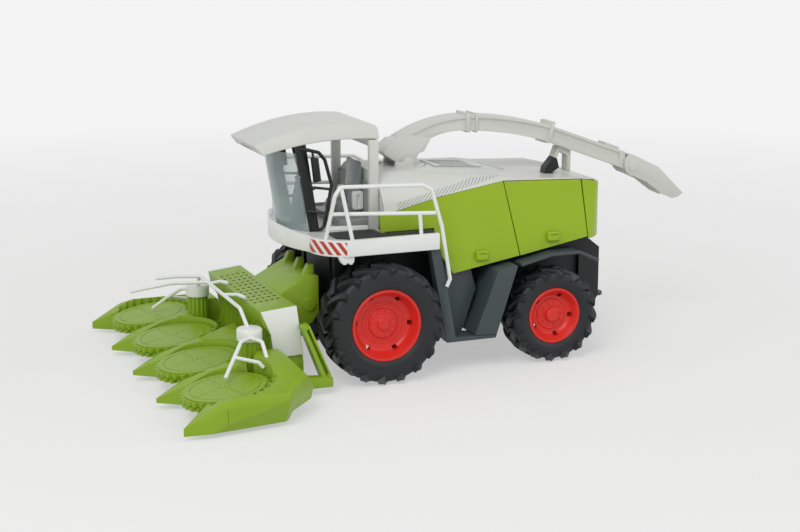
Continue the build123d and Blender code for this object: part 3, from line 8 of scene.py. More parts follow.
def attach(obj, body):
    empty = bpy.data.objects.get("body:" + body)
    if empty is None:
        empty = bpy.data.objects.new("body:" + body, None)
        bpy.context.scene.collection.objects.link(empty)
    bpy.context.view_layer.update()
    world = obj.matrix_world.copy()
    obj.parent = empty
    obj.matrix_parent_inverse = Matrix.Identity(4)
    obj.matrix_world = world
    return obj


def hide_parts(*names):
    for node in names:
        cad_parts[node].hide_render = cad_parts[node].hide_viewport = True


# Toy forage harvester with a row header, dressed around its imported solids. Metres; X forward, Y left, Z up.
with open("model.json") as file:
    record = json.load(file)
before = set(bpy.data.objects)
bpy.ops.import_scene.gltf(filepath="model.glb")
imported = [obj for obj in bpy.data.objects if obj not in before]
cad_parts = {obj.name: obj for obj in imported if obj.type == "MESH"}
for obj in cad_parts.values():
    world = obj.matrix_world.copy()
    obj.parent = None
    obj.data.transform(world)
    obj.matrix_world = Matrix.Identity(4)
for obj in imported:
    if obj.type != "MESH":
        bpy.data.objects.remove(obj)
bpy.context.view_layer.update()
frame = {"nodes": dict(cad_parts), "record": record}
nodes = frame["nodes"]
MM = 0.001
WHEEL_X = 58.0              # front axle, ahead of the frame's middle, mm

# Moulded edges of a small toy: the radius that a part's corner shows.
FINE_EDGE = 0.25 * MM
SOFT_EDGE = 0.5 * MM


# ---------------------------------------------------------------- materials
def linear(hex_colour):
    """A linear RGBA colour from an sRGB hex value."""
    out = []
    for at in (1, 3, 5):
        c = int(hex_colour[at : at + 2], 16) / 255
        out.append(c / 12.92 if c <= 0.04045 else ((c + 0.055) / 1.055) ** 2.4)
    return (*out, 1.0)


def put(tree, kind, settings=None, **links):
    """Adds a node; settings are its attributes, links are input values or the sockets that feed them."""
    made = tree.nodes.new(kind)
    for name, value in (settings or {}).items():
        setattr(made, name, value)
    for name, value in links.items():
        key = name.replace("_", " ") if not name.startswith("i") or not name[1:].isdigit() else int(name[1:])
        socket = made.inputs[key]
        if isinstance(value, bpy.types.NodeSocket):
            tree.links.new(value, socket)
        else:
            socket.default_value = value
    return made


def new_material(name):
    made = bpy.data.materials.new(name)
    made.use_nodes = True
    made.node_tree.nodes.clear()
    return made, made.node_tree


def math_node(tree, operation, a, b=0.0, c=0.0):
    return put(tree, "ShaderNodeMath", {"operation": operation}, i0=a, i1=b, i2=c).outputs[0]


def moulded(name, colour, shade, roughness, grain_mm=0.45, dents=0.05, paint=None):
    """Injection-moulded plastic: a fine spark-eroded grain, and faint flow marks in colour and gloss."""
    made, tree = new_material(name)
    place = put(tree, "ShaderNodeTexCoord").outputs["Object"]
    flow = put(tree, "ShaderNodeTexNoise", {"noise_dimensions": "3D"}, Vector=place, Scale=28.0, Detail=3.0)
    grain = put(
        tree, "ShaderNodeTexNoise", {"noise_dimensions": "3D"}, Vector=place,
        Scale=1.0 / (grain_mm * MM), Detail=2.0,
    )
    tone = put(
        tree, "ShaderNodeMix", {"data_type": "RGBA"}, Factor=flow.outputs["Fac"],
        i6=linear(shade), i7=linear(colour),
    ).outputs[2]
    if paint:
        tone = paint(tree, place, tone)
    gloss = put(
        tree, "ShaderNodeMapRange", None, Value=flow.outputs["Fac"],
        **{"To_Min": roughness - 0.05, "To_Max": roughness + 0.07},
    ).outputs[0]
    bump = put(
        tree, "ShaderNodeBump", None, Strength=dents, Distance=0.2 * MM, Height=grain.outputs["Fac"],
    ).outputs[0]
    surface = put(
        tree, "ShaderNodeBsdfPrincipled", None, Base_Color=tone, Roughness=gloss, Normal=bump, IOR=1.54,
        Specular_IOR_Level=0.36,
    )
    put(tree, "ShaderNodeOutputMaterial", None, Surface=surface.outputs[0])
    return made


def inside(tree, value, low, high):
    """1 where value is between low and high, else 0."""
    over = math_node(tree, "GREATER_THAN", value, low)
    under = math_node(tree, "LESS_THAN", value, high)
    return math_node(tree, "MULTIPLY", over, under)


def slanted(tree, along, up, slope, pitch, share):
    """1 on the bars of a row of slanted stripes."""
    lean = math_node(tree, "MULTIPLY_ADD", up, slope, along)
    turn = math_node(tree, "FRACT", math_node(tree, "DIVIDE", lean, pitch))
    return math_node(tree, "LESS_THAN", turn, share)


def painted(tree, base, mask, colour):
    """The base colour with a flat colour laid over it where mask is 1."""
    return put(
        tree, "ShaderNodeMix", {"data_type": "RGBA"}, Factor=mask, i6=base, i7=linear(colour)
    ).outputs[2]


# Red and white warning bars on the rounded front corners of the platform's skirt.
hazard_lean = (0.942, -0.334)               # the bars are spaced evenly along this line, seen from above
hazard_along = (57.0 * MM, 84.2 * MM)
hazard_up = (98.9 * MM, 108.2 * MM)
hazard_behind = 85.5 * MM                   # the bars end here, where the straight skirt begins
hazard_slope, hazard_pitch, hazard_share = -0.74, 6.1 * MM, 0.55


def hazard_bars(tree, place, base):
    split = put(tree, "ShaderNodeSeparateXYZ", None, Vector=place).outputs
    across = math_node(tree, "MULTIPLY", math_node(tree, "ABSOLUTE", split[1]), hazard_lean[1])
    along = math_node(tree, "MULTIPLY_ADD", split[0], hazard_lean[0], across)
    field = math_node(
        tree, "MULTIPLY", inside(tree, along, *hazard_along), inside(tree, split[2], *hazard_up)
    )
    field = math_node(tree, "MULTIPLY", field, math_node(tree, "GREATER_THAN", split[0], hazard_behind))
    bars = slanted(tree, along, split[2], hazard_slope, hazard_pitch, hazard_share)
    return painted(tree, base, math_node(tree, "MULTIPLY", field, bars), "#C23A32")


# The hood's border with the green panels falls this much per unit ahead. The hatching lies above it: its
# height where that line crosses the frame's middle, its ends, and its least distance from the centre line.
border_fall = 0.2215
hatch_rise, hatch_ahead, hatch_side = (134.0 * MM, 138.8 * MM), (-44.0 * MM, 40.0 * MM), 45.0 * MM
hatch_slope, hatch_pitch, hatch_share = 1.1, 2.6 * MM, 0.36
# The pocket under the honeycomb, whose floor gets painted shade: its ends along and its half width across.
pocket_ahead, pocket_half = (-44.8 * MM, -6.4 * MM), 15.1 * MM


def hood_hatching_and_shade(tree, place, base):
    """Fine grey hatching along the hood's border, and painted shade on the floor under its honeycomb."""
    split = put(tree, "ShaderNodeSeparateXYZ", None, Vector=place).outputs
    rise = math_node(tree, "MULTIPLY_ADD", split[0], border_fall, split[2])
    out = math_node(tree, "ABSOLUTE", split[1])
    band = math_node(
        tree, "MULTIPLY", inside(tree, rise, *hatch_rise), inside(tree, split[0], *hatch_ahead)
    )
    band = math_node(tree, "MULTIPLY", band, math_node(tree, "GREATER_THAN", out, hatch_side))
    bars = slanted(tree, split[0], split[2], hatch_slope, hatch_pitch, hatch_share)
    hatched = painted(tree, base, math_node(tree, "MULTIPLY", band, bars), "#A0A6A2")
    middle = math_node(tree, "LESS_THAN", out, pocket_half)
    pocket = math_node(tree, "MULTIPLY", inside(tree, split[0], *pocket_ahead), middle)
    return painted(tree, hatched, pocket, "#A3A8A8")


# The header's top: height at the front edge, mm, and its rise per mm backwards.
top_front_x, top_front_z, top_rise = 151.0, 61.4, 0.1053
# The holes in it: how deep their walls show, and the field that they fill along and across.
hole_depth = (0.25 * MM, 4.0 * MM)
hole_ahead, hole_across = (125.5 * MM, 150.2 * MM), (-50.0 * MM, 44.0 * MM)


def hole_shade(tree, place, base):
    """The small holes in the header's top look black inside: painted shade on their walls and floors."""
    split = put(tree, "ShaderNodeSeparateXYZ", None, Vector=place).outputs
    lid = math_node(tree, "MULTIPLY_ADD", split[0], -top_rise, (top_front_z + top_front_x * top_rise) * MM)
    depth = inside(tree, math_node(tree, "SUBTRACT", lid, split[2]), *hole_depth)
    field = math_node(
        tree, "MULTIPLY", inside(tree, split[0], *hole_ahead), inside(tree, split[1], *hole_across)
    )
    return painted(tree, base, math_node(tree, "MULTIPLY", depth, field), "#101408")


comb_flat = 0.8              # upward share of a face's normal, above which it is the top of a ridge


def comb_shade(tree, place, base):
    """The cells between the honeycomb's ridges lie in the shade."""
    up = put(tree, "ShaderNodeSeparateXYZ", None, Vector=put(tree, "ShaderNodeTexCoord").outputs["Normal"])
    return painted(tree, base, math_node(tree, "LESS_THAN", up.outputs[2], comb_flat), "#AEB3B3")


lining_top, lining_half = 142.4 * MM, 38.4 * MM


def cab_lining(tree, place, base):
    """The cab frame's inner side is moulded grey below the windows."""
    split = put(tree, "ShaderNodeSeparateXYZ", None, Vector=place).outputs
    low = math_node(tree, "LESS_THAN", split[2], lining_top)
    middle = math_node(tree, "LESS_THAN", math_node(tree, "ABSOLUTE", split[1]), lining_half)
    return painted(tree, base, math_node(tree, "MULTIPLY", low, middle), "#8F9594")


# Lime ABS from a polished mould: an even, clean yellow-green with a satin gloss.
lime_abs = moulded("lime_moulded_abs", "#9ABA1C", "#90AD17", 0.34)
# Leaf-green ABS of the header: a little duller and darker, with a coarser grain.
leaf_abs = moulded("leaf_green_moulded_abs", "#90B224", "#83A21C", 0.4, grain_mm=0.6, dents=0.08)
# The header's top: the same green, with painted shade in its holes.
lid_abs = moulded("leaf_green_lid_abs", "#90B224", "#83A21C", 0.4, grain_mm=0.6, dents=0.08, paint=hole_shade)
# Off-white ABS of the cab, hood and spout: a warm light grey in the shade.
shell_abs = moulded("off_white_moulded_abs", "#D6D7D1", "#CBCDC6", 0.34)
# The hood: the same off-white, with its grey hatching and painted shade on the floor under the honeycomb.
hood_abs = moulded("off_white_hood_abs", "#DADBD5", "#D0D2CB", 0.34, paint=hood_hatching_and_shade)
comb_abs = moulded("off_white_comb_abs", "#E2E4DF", "#D6D8D2", 0.34, paint=comb_shade)
frame_abs = moulded("off_white_cab_abs", "#D6D7D1", "#CBCDC6", 0.36, paint=cab_lining)
# White ABS of the railings and guards.
white_abs = moulded("white_moulded_abs", "#F1F3F0", "#E6E9E5", 0.36)
skirt_abs = moulded("white_skirt_abs", "#EFF1EE", "#E6E9E5", 0.32, paint=hazard_bars)
# Red polypropylene wheels: strong orange-red, satin.
red_pp = moulded("red_moulded_polypropylene", "#E6322A", "#D22A22", 0.34)
# Charcoal ABS of the frame and steps: blue-green grey, matt.
charcoal_abs = moulded("charcoal_moulded_abs", "#454F52", "#3A4346", 0.45, grain_mm=0.7, dents=0.1)
# The chassis lies in the shade of the body: its charcoal is darkened to nearly black, as painted shade.
chassis_painted_shade_abs = moulded("charcoal_chassis_painted_shade_abs", "#212528", "#181B1E", 0.5, grain_mm=0.7, dents=0.1)
# Black ABS: the pillar, stack and treads.
black_abs = moulded("black_moulded_abs", "#17191B", "#101214", 0.32)
# Grey ABS of the cab's inside, polished on the seat.
grey_abs = moulded("grey_moulded_abs", "#8F9594", "#7F8685", 0.45, grain_mm=0.7, dents=0.1)
seat_abs = moulded("grey_polished_abs", "#9AA0A2", "#6C7376", 0.22, grain_mm=5.0, dents=0.5)
# Soft PVC tyres: near black with a dry, slightly dusty sheen.
tyre_pvc = moulded("black_soft_pvc", "#232528", "#17181A", 0.46, grain_mm=0.9, dents=0.14)


def clear_polystyrene():
    """Clear polystyrene screen: sharp and glossy, blue-grey, and denser where it is seen at a slant."""
    made, tree = new_material("clear_moulded_polystyrene")
    place = put(tree, "ShaderNodeTexCoord").outputs["Object"]
    ripple = put(tree, "ShaderNodeTexNoise", None, Vector=place, Scale=60.0, Detail=1.0)
    bump = put(tree, "ShaderNodeBump", None, Strength=0.1, Distance=0.3 * MM, Height=ripple.outputs["Fac"])
    tint = put(
        tree, "ShaderNodeMix", {"data_type": "RGBA"}, Factor=ripple.outputs["Fac"],
        i6=linear("#8FA3A6"), i7=linear("#B9C7C9"),
    ).outputs[2]
    slant = put(tree, "ShaderNodeLayerWeight", None, Blend=0.45).outputs["Facing"]
    body = put(tree, "ShaderNodeMapRange", None, Value=slant, To_Min=0.22, To_Max=0.92).outputs[0]
    surface = put(
        tree, "ShaderNodeBsdfPrincipled", None, Base_Color=tint, Roughness=0.05, IOR=1.59, Alpha=body,
        Normal=bump.outputs[0],
    )
    put(tree, "ShaderNodeOutputMaterial", None, Surface=surface.outputs[0])
    return made


screen_clear = clear_polystyrene()

finishes = {
    "tyre_rubber": tyre_pvc, "rim_red": red_pp, "body_green": lime_abs, "header_green": leaf_abs,
    "white_shell": shell_abs, "charcoal": charcoal_abs, "black_trim": black_abs,
    "interior_grey": grey_abs, "white_gloss": white_abs, "clear_screen": screen_clear,
}
slot_of = {row["node"]: row["material_slot"] for row in frame["record"]["subparts"]}
body_of = {node: body for body, members in frame["record"]["behaviour"]["bodies"].items() for node in members}


# ---------------------------------------------------------------- modelling helpers
def deselect():
    if bpy.context.object and bpy.context.object.mode != "OBJECT":
        bpy.ops.object.mode_set(mode="OBJECT")
    bpy.ops.object.select_all(action="DESELECT")


def focus(piece):
    deselect()
    piece.select_set(True)
    bpy.context.view_layer.objects.active = piece


def apply_all(piece):
    focus(piece)
    for modifier in list(piece.modifiers):
        bpy.ops.object.modifier_apply(modifier=modifier.name)


def settle(piece):
    """Puts the piece's place into its mesh, with its object at the origin."""
    piece.data.transform(piece.matrix_basis)
    piece.matrix_basis = Matrix.Identity(4)


def dress(piece, material, body, smooth=35.0):
    piece.data.materials.clear()
    piece.data.materials.append(material)
    focus(piece)
    bpy.ops.object.shade_smooth_by_angle(angle=math.radians(smooth))
    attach(piece, body)
    return piece


def in_edit(piece):
    """Opens a piece's mesh with all of it selected."""
    focus(piece)
    bpy.ops.object.mode_set(mode="EDIT")
    bpy.ops.mesh.select_mode(type="VERT")
    bpy.ops.mesh.select_all(action="SELECT")


def out_of_edit():
    bpy.ops.object.mode_set(mode="OBJECT")


def polyline(name, points, closed, dimensions="3D"):
    """A curve of straight runs through points in millimetres."""
    line = bpy.data.curves.new(name, "CURVE")
    line.dimensions = dimensions
    spline = line.splines.new("POLY")
    spline.points.add(len(points) - 1)
    for knot, point in zip(spline.points, points):
        knot.co = (point[0] * MM, point[1] * MM, point[2] * MM, 1.0)
    spline.use_cyclic_u = closed
    return line


def shown(name, data):
    """An object of the given data, linked to the scene."""
    piece = bpy.data.objects.new(name, data)
    bpy.context.scene.collection.objects.link(piece)
    return piece


def meshed(piece):
    focus(piece)
    bpy.ops.object.convert(target="MESH")
    return bpy.context.object


def drawn(name, points):
    """A closed line through points in millimetres, as a mesh."""
    return meshed(shown(name, polyline(name, points, True)))


def lathed(name, rows, centre, steps):
    """A closed (out, radius) section in millimetres, spun round a wheel's axle."""
    x, y, z = centre
    piece = drawn(name, [(x, y + out, z + radius) for out, radius in rows])
    in_edit(piece)
    bpy.ops.mesh.spin(
        steps=steps, angle=2 * math.pi, center=(x * MM, y * MM, z * MM), axis=(0, 1, 0), use_auto_merge=True
    )
    bpy.ops.mesh.select_all(action="SELECT")
    bpy.ops.mesh.remove_doubles(threshold=0.001 * MM)
    bpy.ops.mesh.normals_make_consistent(inside=False)
    out_of_edit()
    return piece


def copied(piece, name, change):
    """A copy with a mesh of its own, moved by a matrix."""
    twin = piece.copy()
    twin.data = piece.data.copy()
    twin.name = name
    bpy.context.scene.collection.objects.link(twin)
    twin.data.transform(change)
    return twin


def turned(centre, degrees, axis="Y"):
    """A rotation about an axis through a point in millimetres."""
    middle = Matrix.Translation(Vector(centre) * MM)
    return middle @ Matrix.Rotation(math.radians(degrees), 4, axis) @ middle.inverted()


def joined(name, pieces):
    deselect()
    for piece in pieces:
        piece.select_set(True)
    bpy.context.view_layer.objects.active = pieces[0]
    bpy.ops.object.join()
    bpy.context.object.name = name
    return bpy.context.object


def bevelled(piece, width, segments=2, angle=35):
    bevel = piece.modifiers.new("edge", "BEVEL")
    bevel.width = width
    bevel.segments = segments
    bevel.limit_method = "ANGLE"
    bevel.angle_limit = math.radians(angle)
    bevel.use_clamp_overlap = True
    apply_all(piece)
    return piece


def carved(piece, cutters):
    """Cuts closed meshes out of a piece."""
    for cutter in cutters:
        cut = piece.modifiers.new("cut", "BOOLEAN")
        cut.object = cutter
        cut.operation = "DIFFERENCE"
        cut.solver = "EXACT"
    apply_all(piece)
    for cutter in cutters:
        bpy.data.objects.remove(cutter, do_unlink=True)
    return piece


def mirrored(piece, name):
    """The piece's twin on the other side of the machine, with a mesh of its own."""
    twin = copied(piece, name, Matrix.Scale(-1, 4, (0, 1, 0)))
    in_edit(twin)
    bpy.ops.mesh.flip_normals()
    out_of_edit()
    return twin


def prism(name, outline, near, far, axis="Y"):
    """A closed flat outline in millimetres, given thickness from near to far along an axis."""
    turn = "XYZ".index(axis)
    points = [(*point[:turn], near, *point[turn:]) for point in outline]
    path = [(far - near) * MM if k == turn else 0 for k in range(3)]
    piece = drawn(name, points)
    in_edit(piece)
    bpy.ops.mesh.edge_face_add()
    bpy.ops.mesh.extrude_region_move(TRANSFORM_OT_translate={"value": path})
    bpy.ops.mesh.select_all(action="SELECT")
    bpy.ops.mesh.normals_make_consistent(inside=False)
    out_of_edit()
    return piece


def stud(name, place, radius, height):
    """A small six-sided nut on the outer side of a wheel, with a rounded rim."""
    x, y, z = place
    deselect()
    bpy.ops.mesh.primitive_cylinder_add(
        vertices=6, radius=radius * MM, depth=height * MM, location=(x * MM, y * MM, z * MM),
        rotation=(math.pi / 2, 0, 0),
    )
    nut = bpy.context.object
    nut.name = name
    settle(nut)
    return bevelled(nut, 0.2 * MM)


def block(name, low, high):
    """A box between two corners in millimetres."""
    deselect()
    bpy.ops.mesh.primitive_cube_add(
        size=1.0, location=[(a + b) / 2 * MM for a, b in zip(low, high)],
        scale=[(b - a) * MM for a, b in zip(low, high)],
    )
    made = bpy.context.object
    made.name = name
    settle(made)
    return made


def slope_cutter(name, at, normal):
    """A cube whose face lies on the plane through a point, on the side that the normal points to."""
    size = 130.0
    made = block(name, (-size / 2, -size / 2, 0.0), (size / 2, size / 2, size))
    turn = Vector((0, 0, 1)).rotation_difference(Vector(normal)).to_matrix().to_4x4()
    made.data.transform(Matrix.Translation(Vector(at) * MM) @ turn)
    return made


def softened(node, width, material=None, segments=2):
    """A copy of a CAD node with its flat faces joined and its sharp edges rounded, shown in its place."""
    piece = nodes[node].copy()
    piece.data = nodes[node].data.copy()
    piece.name = node + "_moulding"
    piece.parent = None
    for key in list(piece.keys()):
        del piece[key]
    bpy.context.scene.collection.objects.link(piece)
    in_edit(piece)
    bpy.ops.mesh.remove_doubles(threshold=0.002 * MM)
    bpy.ops.mesh.dissolve_limited(angle_limit=math.radians(1.0))
    out_of_edit()
    bevelled(piece, width, segments)
    slot = slot_of[node]
    dress(piece, material or finishes[slot], body_of[node])
    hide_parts(node)
    return piece


# ---------------------------------------------------------------- CAD nodes that show as they are
for name, node in nodes.items():
    node.data.materials.clear()
    node.data.materials.append(finishes[slot_of[name]])
special = {
    "platform": skirt_abs, "hood": hood_abs, "cab_frame": frame_abs, "header_frame": lid_abs,
    "chassis_frame": chassis_painted_shade_abs, "engine_block": chassis_painted_shade_abs, "front_axle": chassis_painted_shade_abs,
    "rear_axle": chassis_painted_shade_abs, "seat": seat_abs, "armrests": white_abs, "hood_grille": comb_abs,
}
for name, material in special.items():
    nodes[name].data.materials[0] = material

# ---------------------------------------------------------------- rounded mouldings
# Node: the radius that its edges show.
edges = {
    **dict.fromkeys((
        "side_boxes", "side_steps", "end_hoods", "dividers", "header_frame", "feeder_house", "side_arms",
        "rear_fenders", "cab_frame", "platform", "spout_rest", "tow_hitch",
    ), SOFT_EDGE),
    **dict.fromkeys((
        "spout", "spout_flap", "turret", "hood", "front_pillars", "end_plates", "steering_console",
    ), FINE_EDGE),
    "cab_roof": 1.0 * MM, "drum_caps": 0.9 * MM, "seat": 2.0 * MM, "armrests": 0.8 * MM,
}
mouldings = {
    name: softened(name, width, special.get(name), segments=3 if width > SOFT_EDGE else 2)
    for name, width in edges.items()
}

# Three short air slots in the sloping front of the roof.
carved(mouldings["cab_roof"], [
    block("slot", (130.0, y, 169.0), (139.2, y + 5.0, 173.4)) for y in (-11.0, -2.5, 6.0)
])
# A slot down the outer side of each armrest box.
carved(mouldings["armrests"], [
    block("slot", (56.2, y - 1.4, 121.8), (58.4, y + 1.4, 131.6)) for y in (-18.0, 18.0)
])
# The raised lip round the nose runs out towards the front corners.
lip_fall = ((12.0, 111.9), (47.0, 109.52), (80.0, 109.52), (80.0, 115.0), (12.0, 115.0))
carved(mouldings["platform"], [
    prism("lip_cut", [(side * y, z) for y, z in lip_fall], 60.0, 125.0, "X") for side in (1, -1)
])

# Below a crease on their outer side the end hoods lean in, along the side and round the rear corner:
# where the crease meets the corner, its height on both sides of it, and each facet's outward normal.
crease_x, crease_y, crease_z = 156.6, 149.0, {"side": 19.7, "rear": 17.0}
facet_normal = {"side": (-0.125, 0.9051, -0.4065), "rear": (-0.694, 0.635, -0.337)}
# Fine joint between an end hood and its tip: place along, middle and half depth across, and top.
tip_joint_x, tip_joint_y, tip_joint_top = (198.8, 199.3), (150.8, 1.2), 18.5
for side in (1, -1):
    carved(mouldings["end_hoods"], [
        slope_cutter(name + "_lean", (crease_x, side * crease_y, crease_z[name]), (ahead, side * out, up))
        for name, (ahead, out, up) in facet_normal.items()
    ] + [
        block(
            "tip_joint", (tip_joint_x[0], side * tip_joint_y[0] - tip_joint_y[1], 3.0),
            (tip_joint_x[1], side * tip_joint_y[0] + tip_joint_y[1], tip_joint_top),
        )
    ])

# The base plate's rear corners follow the end hoods' rear corners.
base_corner = ((128.0, 104.0), (158.0, 139.5), (158.0, 141.0), (128.0, 141.0))
carved(mouldings["header_frame"], [
    prism("corner_cut", [(x, side * y) for x, y in base_corner], 4.0, 9.3, "Z") for side in (1, -1)
])

# A low box on the spout's back, just before the flap.
box_outline, box_half = ((-171.0, 150.2), (-158.0, 155.0), (-158.0, 157.7), (-171.0, 152.9)), 6.0
spout_box = prism("spout_box", box_outline, -box_half, box_half)
bevelled(spout_box, 0.6 * MM)
dress(spout_box, finishes[slot_of["spout"]], body_of["spout"])

# ---------------------------------------------------------------- small parts of the cab and deck
# Low sill along each side of the cab, between the rear post and the front pillar.
sill_outline = ((58.6, 42.8), (58.6, 39.0), (93.4, 31.4), (93.4, 34.4))
sill = bevelled(prism("cab_sill_left", sill_outline, 109.6, 112.6, "Z"), 0.6 * MM, segments=3)
# White bracket with two lobes under the skirt, behind the front corner.
lobes = (
    (92.1, 99.0), (92.1, 96.8), (90.6, 93.2), (88.6, 91.3), (86.6, 91.6), (85.4, 93.0), (84.4, 91.4),
    (82.4, 91.0), (80.6, 93.4), (80.2, 99.0),
)
bracket = bevelled(prism("skirt_bracket_left", lobes, 67.0, 72.3), 0.8 * MM, segments=3)
for piece in (sill, bracket):
    other = mirrored(piece, piece.name.replace("left", "right"))
    for part in (piece, other):
        dress(part, white_abs, "machine")

# Bulkhead that closes the hood behind the cab.
bulkhead_outline = (
    (-52.0, 112.6), (52.0, 112.6), (50.0, 123.0), (40.0, 139.0), (-40.0, 139.0), (-50.0, 123.0),
)
bulkhead = prism("hood_bulkhead", bulkhead_outline, 48.6, 49.8, "X")
dress(bevelled(bulkhead, 0.2 * MM), shell_abs, "machine")

# Rounded pull catches on the four side panels, which lean in above their foot: degrees, height, half width.
panel_lean, panel_foot, panel_half = 7.0, 84.0, 59.0
catch = (10.2, 3.4, 7.4)     # along, out, up
grip_half, grip_depth, grip_up = 3.2, 0.9, (0.9, 2.1)
# Place along and up, then the body of the left one.
for label, x, z, body in (("front", -25.8, 86.4, "machine"), ("rear", -86.0, 96.3, "left_panel")):
    y = panel_half - math.tan(math.radians(panel_lean)) * (z - panel_foot)
    pull = block(
        f"panel_catch_{label}_left", (x - catch[0] / 2, y - 0.4, z - catch[2] / 2),
        (x + catch[0] / 2, y + catch[1], z + catch[2] / 2),
    )
    bevelled(pull, 1.5 * MM, segments=4)
    face = y + catch[1]
    carved(pull, [block(
        "grip", (x - grip_half, face - grip_depth, z + grip_up[0]), (x + grip_half, face + 2, z + grip_up[1])
    )])
    pull.data.transform(turned((x, y, z), panel_lean, "X"))
    other = mirrored(pull, f"panel_catch_{label}_right")
    dress(pull, lime_abs, body)
    dress(other, lime_abs, body.replace("left", "right"))

# Lozenges of the black deck tread: pitch along and across, half length and half width, height, mm.
tread_pitch, lozenge, lozenge_height = (2.6, 2.0), (1.25, 0.5), 0.45
tread_top, tread_rows, tread_start = 110.3, 29, 18.5
tread_inner = {"hood": 62.2, "cab": 46.2}
tread_outer, cab_rear_x = 69.0, 58.0
corner_x, corner_fall = 84.0, 0.625         # the outer edge comes in ahead of here, by this much per mm
deselect()
bpy.ops.mesh.primitive_cone_add(
    vertices=4, radius1=1.0, radius2=0.55, depth=1.0, location=(0, 0, 0.5), end_fill_type="NGON"
)
first = bpy.context.object
settle(first)
first.data.transform(Matrix.Diagonal((lozenge[0] * MM, lozenge[1] * MM, lozenge_height * MM, 1.0)))
parts = []
for row in range(tread_rows):
    x = tread_start + row * tread_pitch[0]
    inner = tread_inner["cab" if x > cab_rear_x else "hood"]
    outer = tread_outer - max(0.0, corner_fall * (x - corner_x))
    for column in range(int((outer - inner) / tread_pitch[1]) + 1):
        y = inner + column * tread_pitch[1]
        lean = Matrix.Rotation(math.radians(45 if (row + column) % 2 else -45), 4, "Z")
        for side in (1, -1):
            spot = Matrix.Translation(Vector((x, side * y, tread_top - 0.05)) * MM)
            parts.append(copied(first, "lozenge", spot @ lean))
bpy.data.objects.remove(first, do_unlink=True)
dress(joined("deck_tread_lozenges", parts), black_abs, "machine")

# ---------------------------------------------------------------- wheels
# end: axle's x, wheel's y, tyre radius, half width, rim lip radius, rim half width, lugs on each half
wheel_table = {
    "front": (WHEEL_X, 64.5, 44.9, 16.0, 26.95, 14.25, 18),
    "rear": (WHEEL_X - 141.9, 57.0, 36.3, 13.0, 21.6, 11.3, 16),
}
wheel_steps = 96             # facets round a wheel
tread_depth, lug_height, lug_steps = 4.2, 4.15, 8
# A lug's section: across it, and up from the tread as a share of its height.
lug_section = (
    (-3.1, -0.25), (-2.5, 0.86), (-2.1, 1.0), (-1.5, 1.0), (-1.25, 0.93), (1.25, 0.93), (1.5, 1.0),
    (2.1, 1.0), (2.5, 0.86), (3.1, -0.25),
)


def tyre_carcass(name, centre, radius, half, lip, rim_half):
    """The tyre without its lugs, from one bead over the tread to the other."""
    tread, heel = radius - tread_depth, lip + 0.15
    flank = (
        (rim_half - 0.4, heel), (rim_half + 0.1, heel + 0.7), (half - 0.8, heel + 2.4),
        (half - 0.3, heel + 3.4), (half - 0.35, heel + 4.0), (half, (tread + heel) / 2 + 1.0),
        (half - 0.1, tread - 3.6), (half - 0.5, tread - 1.2), (half - 1.3, tread + 0.7),
        (half - 2.4, tread + 1.7), (half - 3.6, tread + 1.9), (half - 5.0, tread + 0.9),
        (half - 7.0, tread + 0.1),
    )
    rows = [*flank, (0.0, tread + 0.2), *[(-out, ring) for out, ring in reversed(flank)]]
    return lathed(name, rows, centre, wheel_steps)


def tyre_lug(name, centre, radius, half, side):
    """One curved lug at the top of the wheel, from its middle line out over the shoulder."""
    x, y, z = centre
    tread = radius - tread_depth
    route = []
    for k in range(lug_steps + 1):
        share = k / lug_steps
        out = 0.4 + (half - 1.1) * share
        along = 6.0 - 11.0 * share**0.8
        drop = 0.0 if share < 0.75 else 1.9 * ((share - 0.75) / 0.25) ** 2
        fall = tread - math.sqrt(tread**2 - along**2)
        route.append((x + along, y + side * out, z + tread - drop - fall))
    path = polyline(name, route, False)
    path.twist_mode = "Z_UP"
    outline = [(across, up * lug_height, 0.0) for across, up in lug_section]
    section = shown(name + "_section", polyline(name + "_section", outline, True, "2D"))
    path.bevel_mode = "OBJECT"
    path.bevel_object = section
    path.use_fill_caps = True
    lug = meshed(shown(name, path))
    bpy.data.objects.remove(section, do_unlink=True)
    return lug


# end: rows of the rim's section (out, radius), nut ring radius, nuts, notch ring radius, notches, and the
# first notch's turn in degrees
rim_table = {
    "front": (
        (
            (14.1, 24.9), (14.25, 25.3), (14.25, 26.5), (13.9, 26.9), (12.8, 26.9), (12.1, 26.0),
            (-12.1, 26.0), (-12.8, 26.9), (-14.25, 26.9), (-14.25, 24.8), (0.5, 22.6), (1.5, 21.5),
            (1.5, 9.0), (-9.0, 8.0), (-9.0, 0.0), (8.2, 0.0), (8.2, 4.2), (7.8, 4.7), (6.6, 4.9),
            (6.4, 5.3), (6.2, 7.0), (6.2, 10.6), (5.7, 11.2), (5.0, 11.6), (4.9, 13.4), (4.6, 13.7),
            (4.6, 15.6), (4.3, 15.9), (4.3, 19.6), (4.6, 20.2), (6.4, 21.9), (7.2, 22.2), (12.6, 23.9),
        ), 9.2, 11, 21.4, 6, 4.0,
    ),
    "rear": (
        (
            (11.2, 19.7), (11.3, 20.0), (11.3, 21.2), (11.0, 21.55), (9.9, 21.55), (9.2, 20.7), (-9.2, 20.7),
            (-9.9, 21.55), (-11.3, 21.55), (-11.3, 19.4), (0.5, 17.4), (1.5, 16.1), (1.5, 9.0), (-9.0, 8.0),
            (-9.0, 0.0), (8.8, 0.0), (8.8, 4.6), (8.3, 5.3), (5.4, 5.9), (5.0, 6.3), (5.0, 11.4), (4.6, 11.8),
            (4.2, 12.2), (4.2, 14.4), (4.6, 15.0), (6.2, 16.6), (6.8, 16.9), (10.0, 18.9),
        ), 8.8, 10, 16.2, 5, -30.0,
    ),
}


# A notch in the rim: inwards and outwards from its ring, half width, and how far out it starts and ends.
notch_in, notch_out, notch_half, notch_depth = 1.7, 1.9, 1.8, (0.5, 7.6)
nut_radius, nut_length, nut_raise = 0.85, 1.2, 0.3


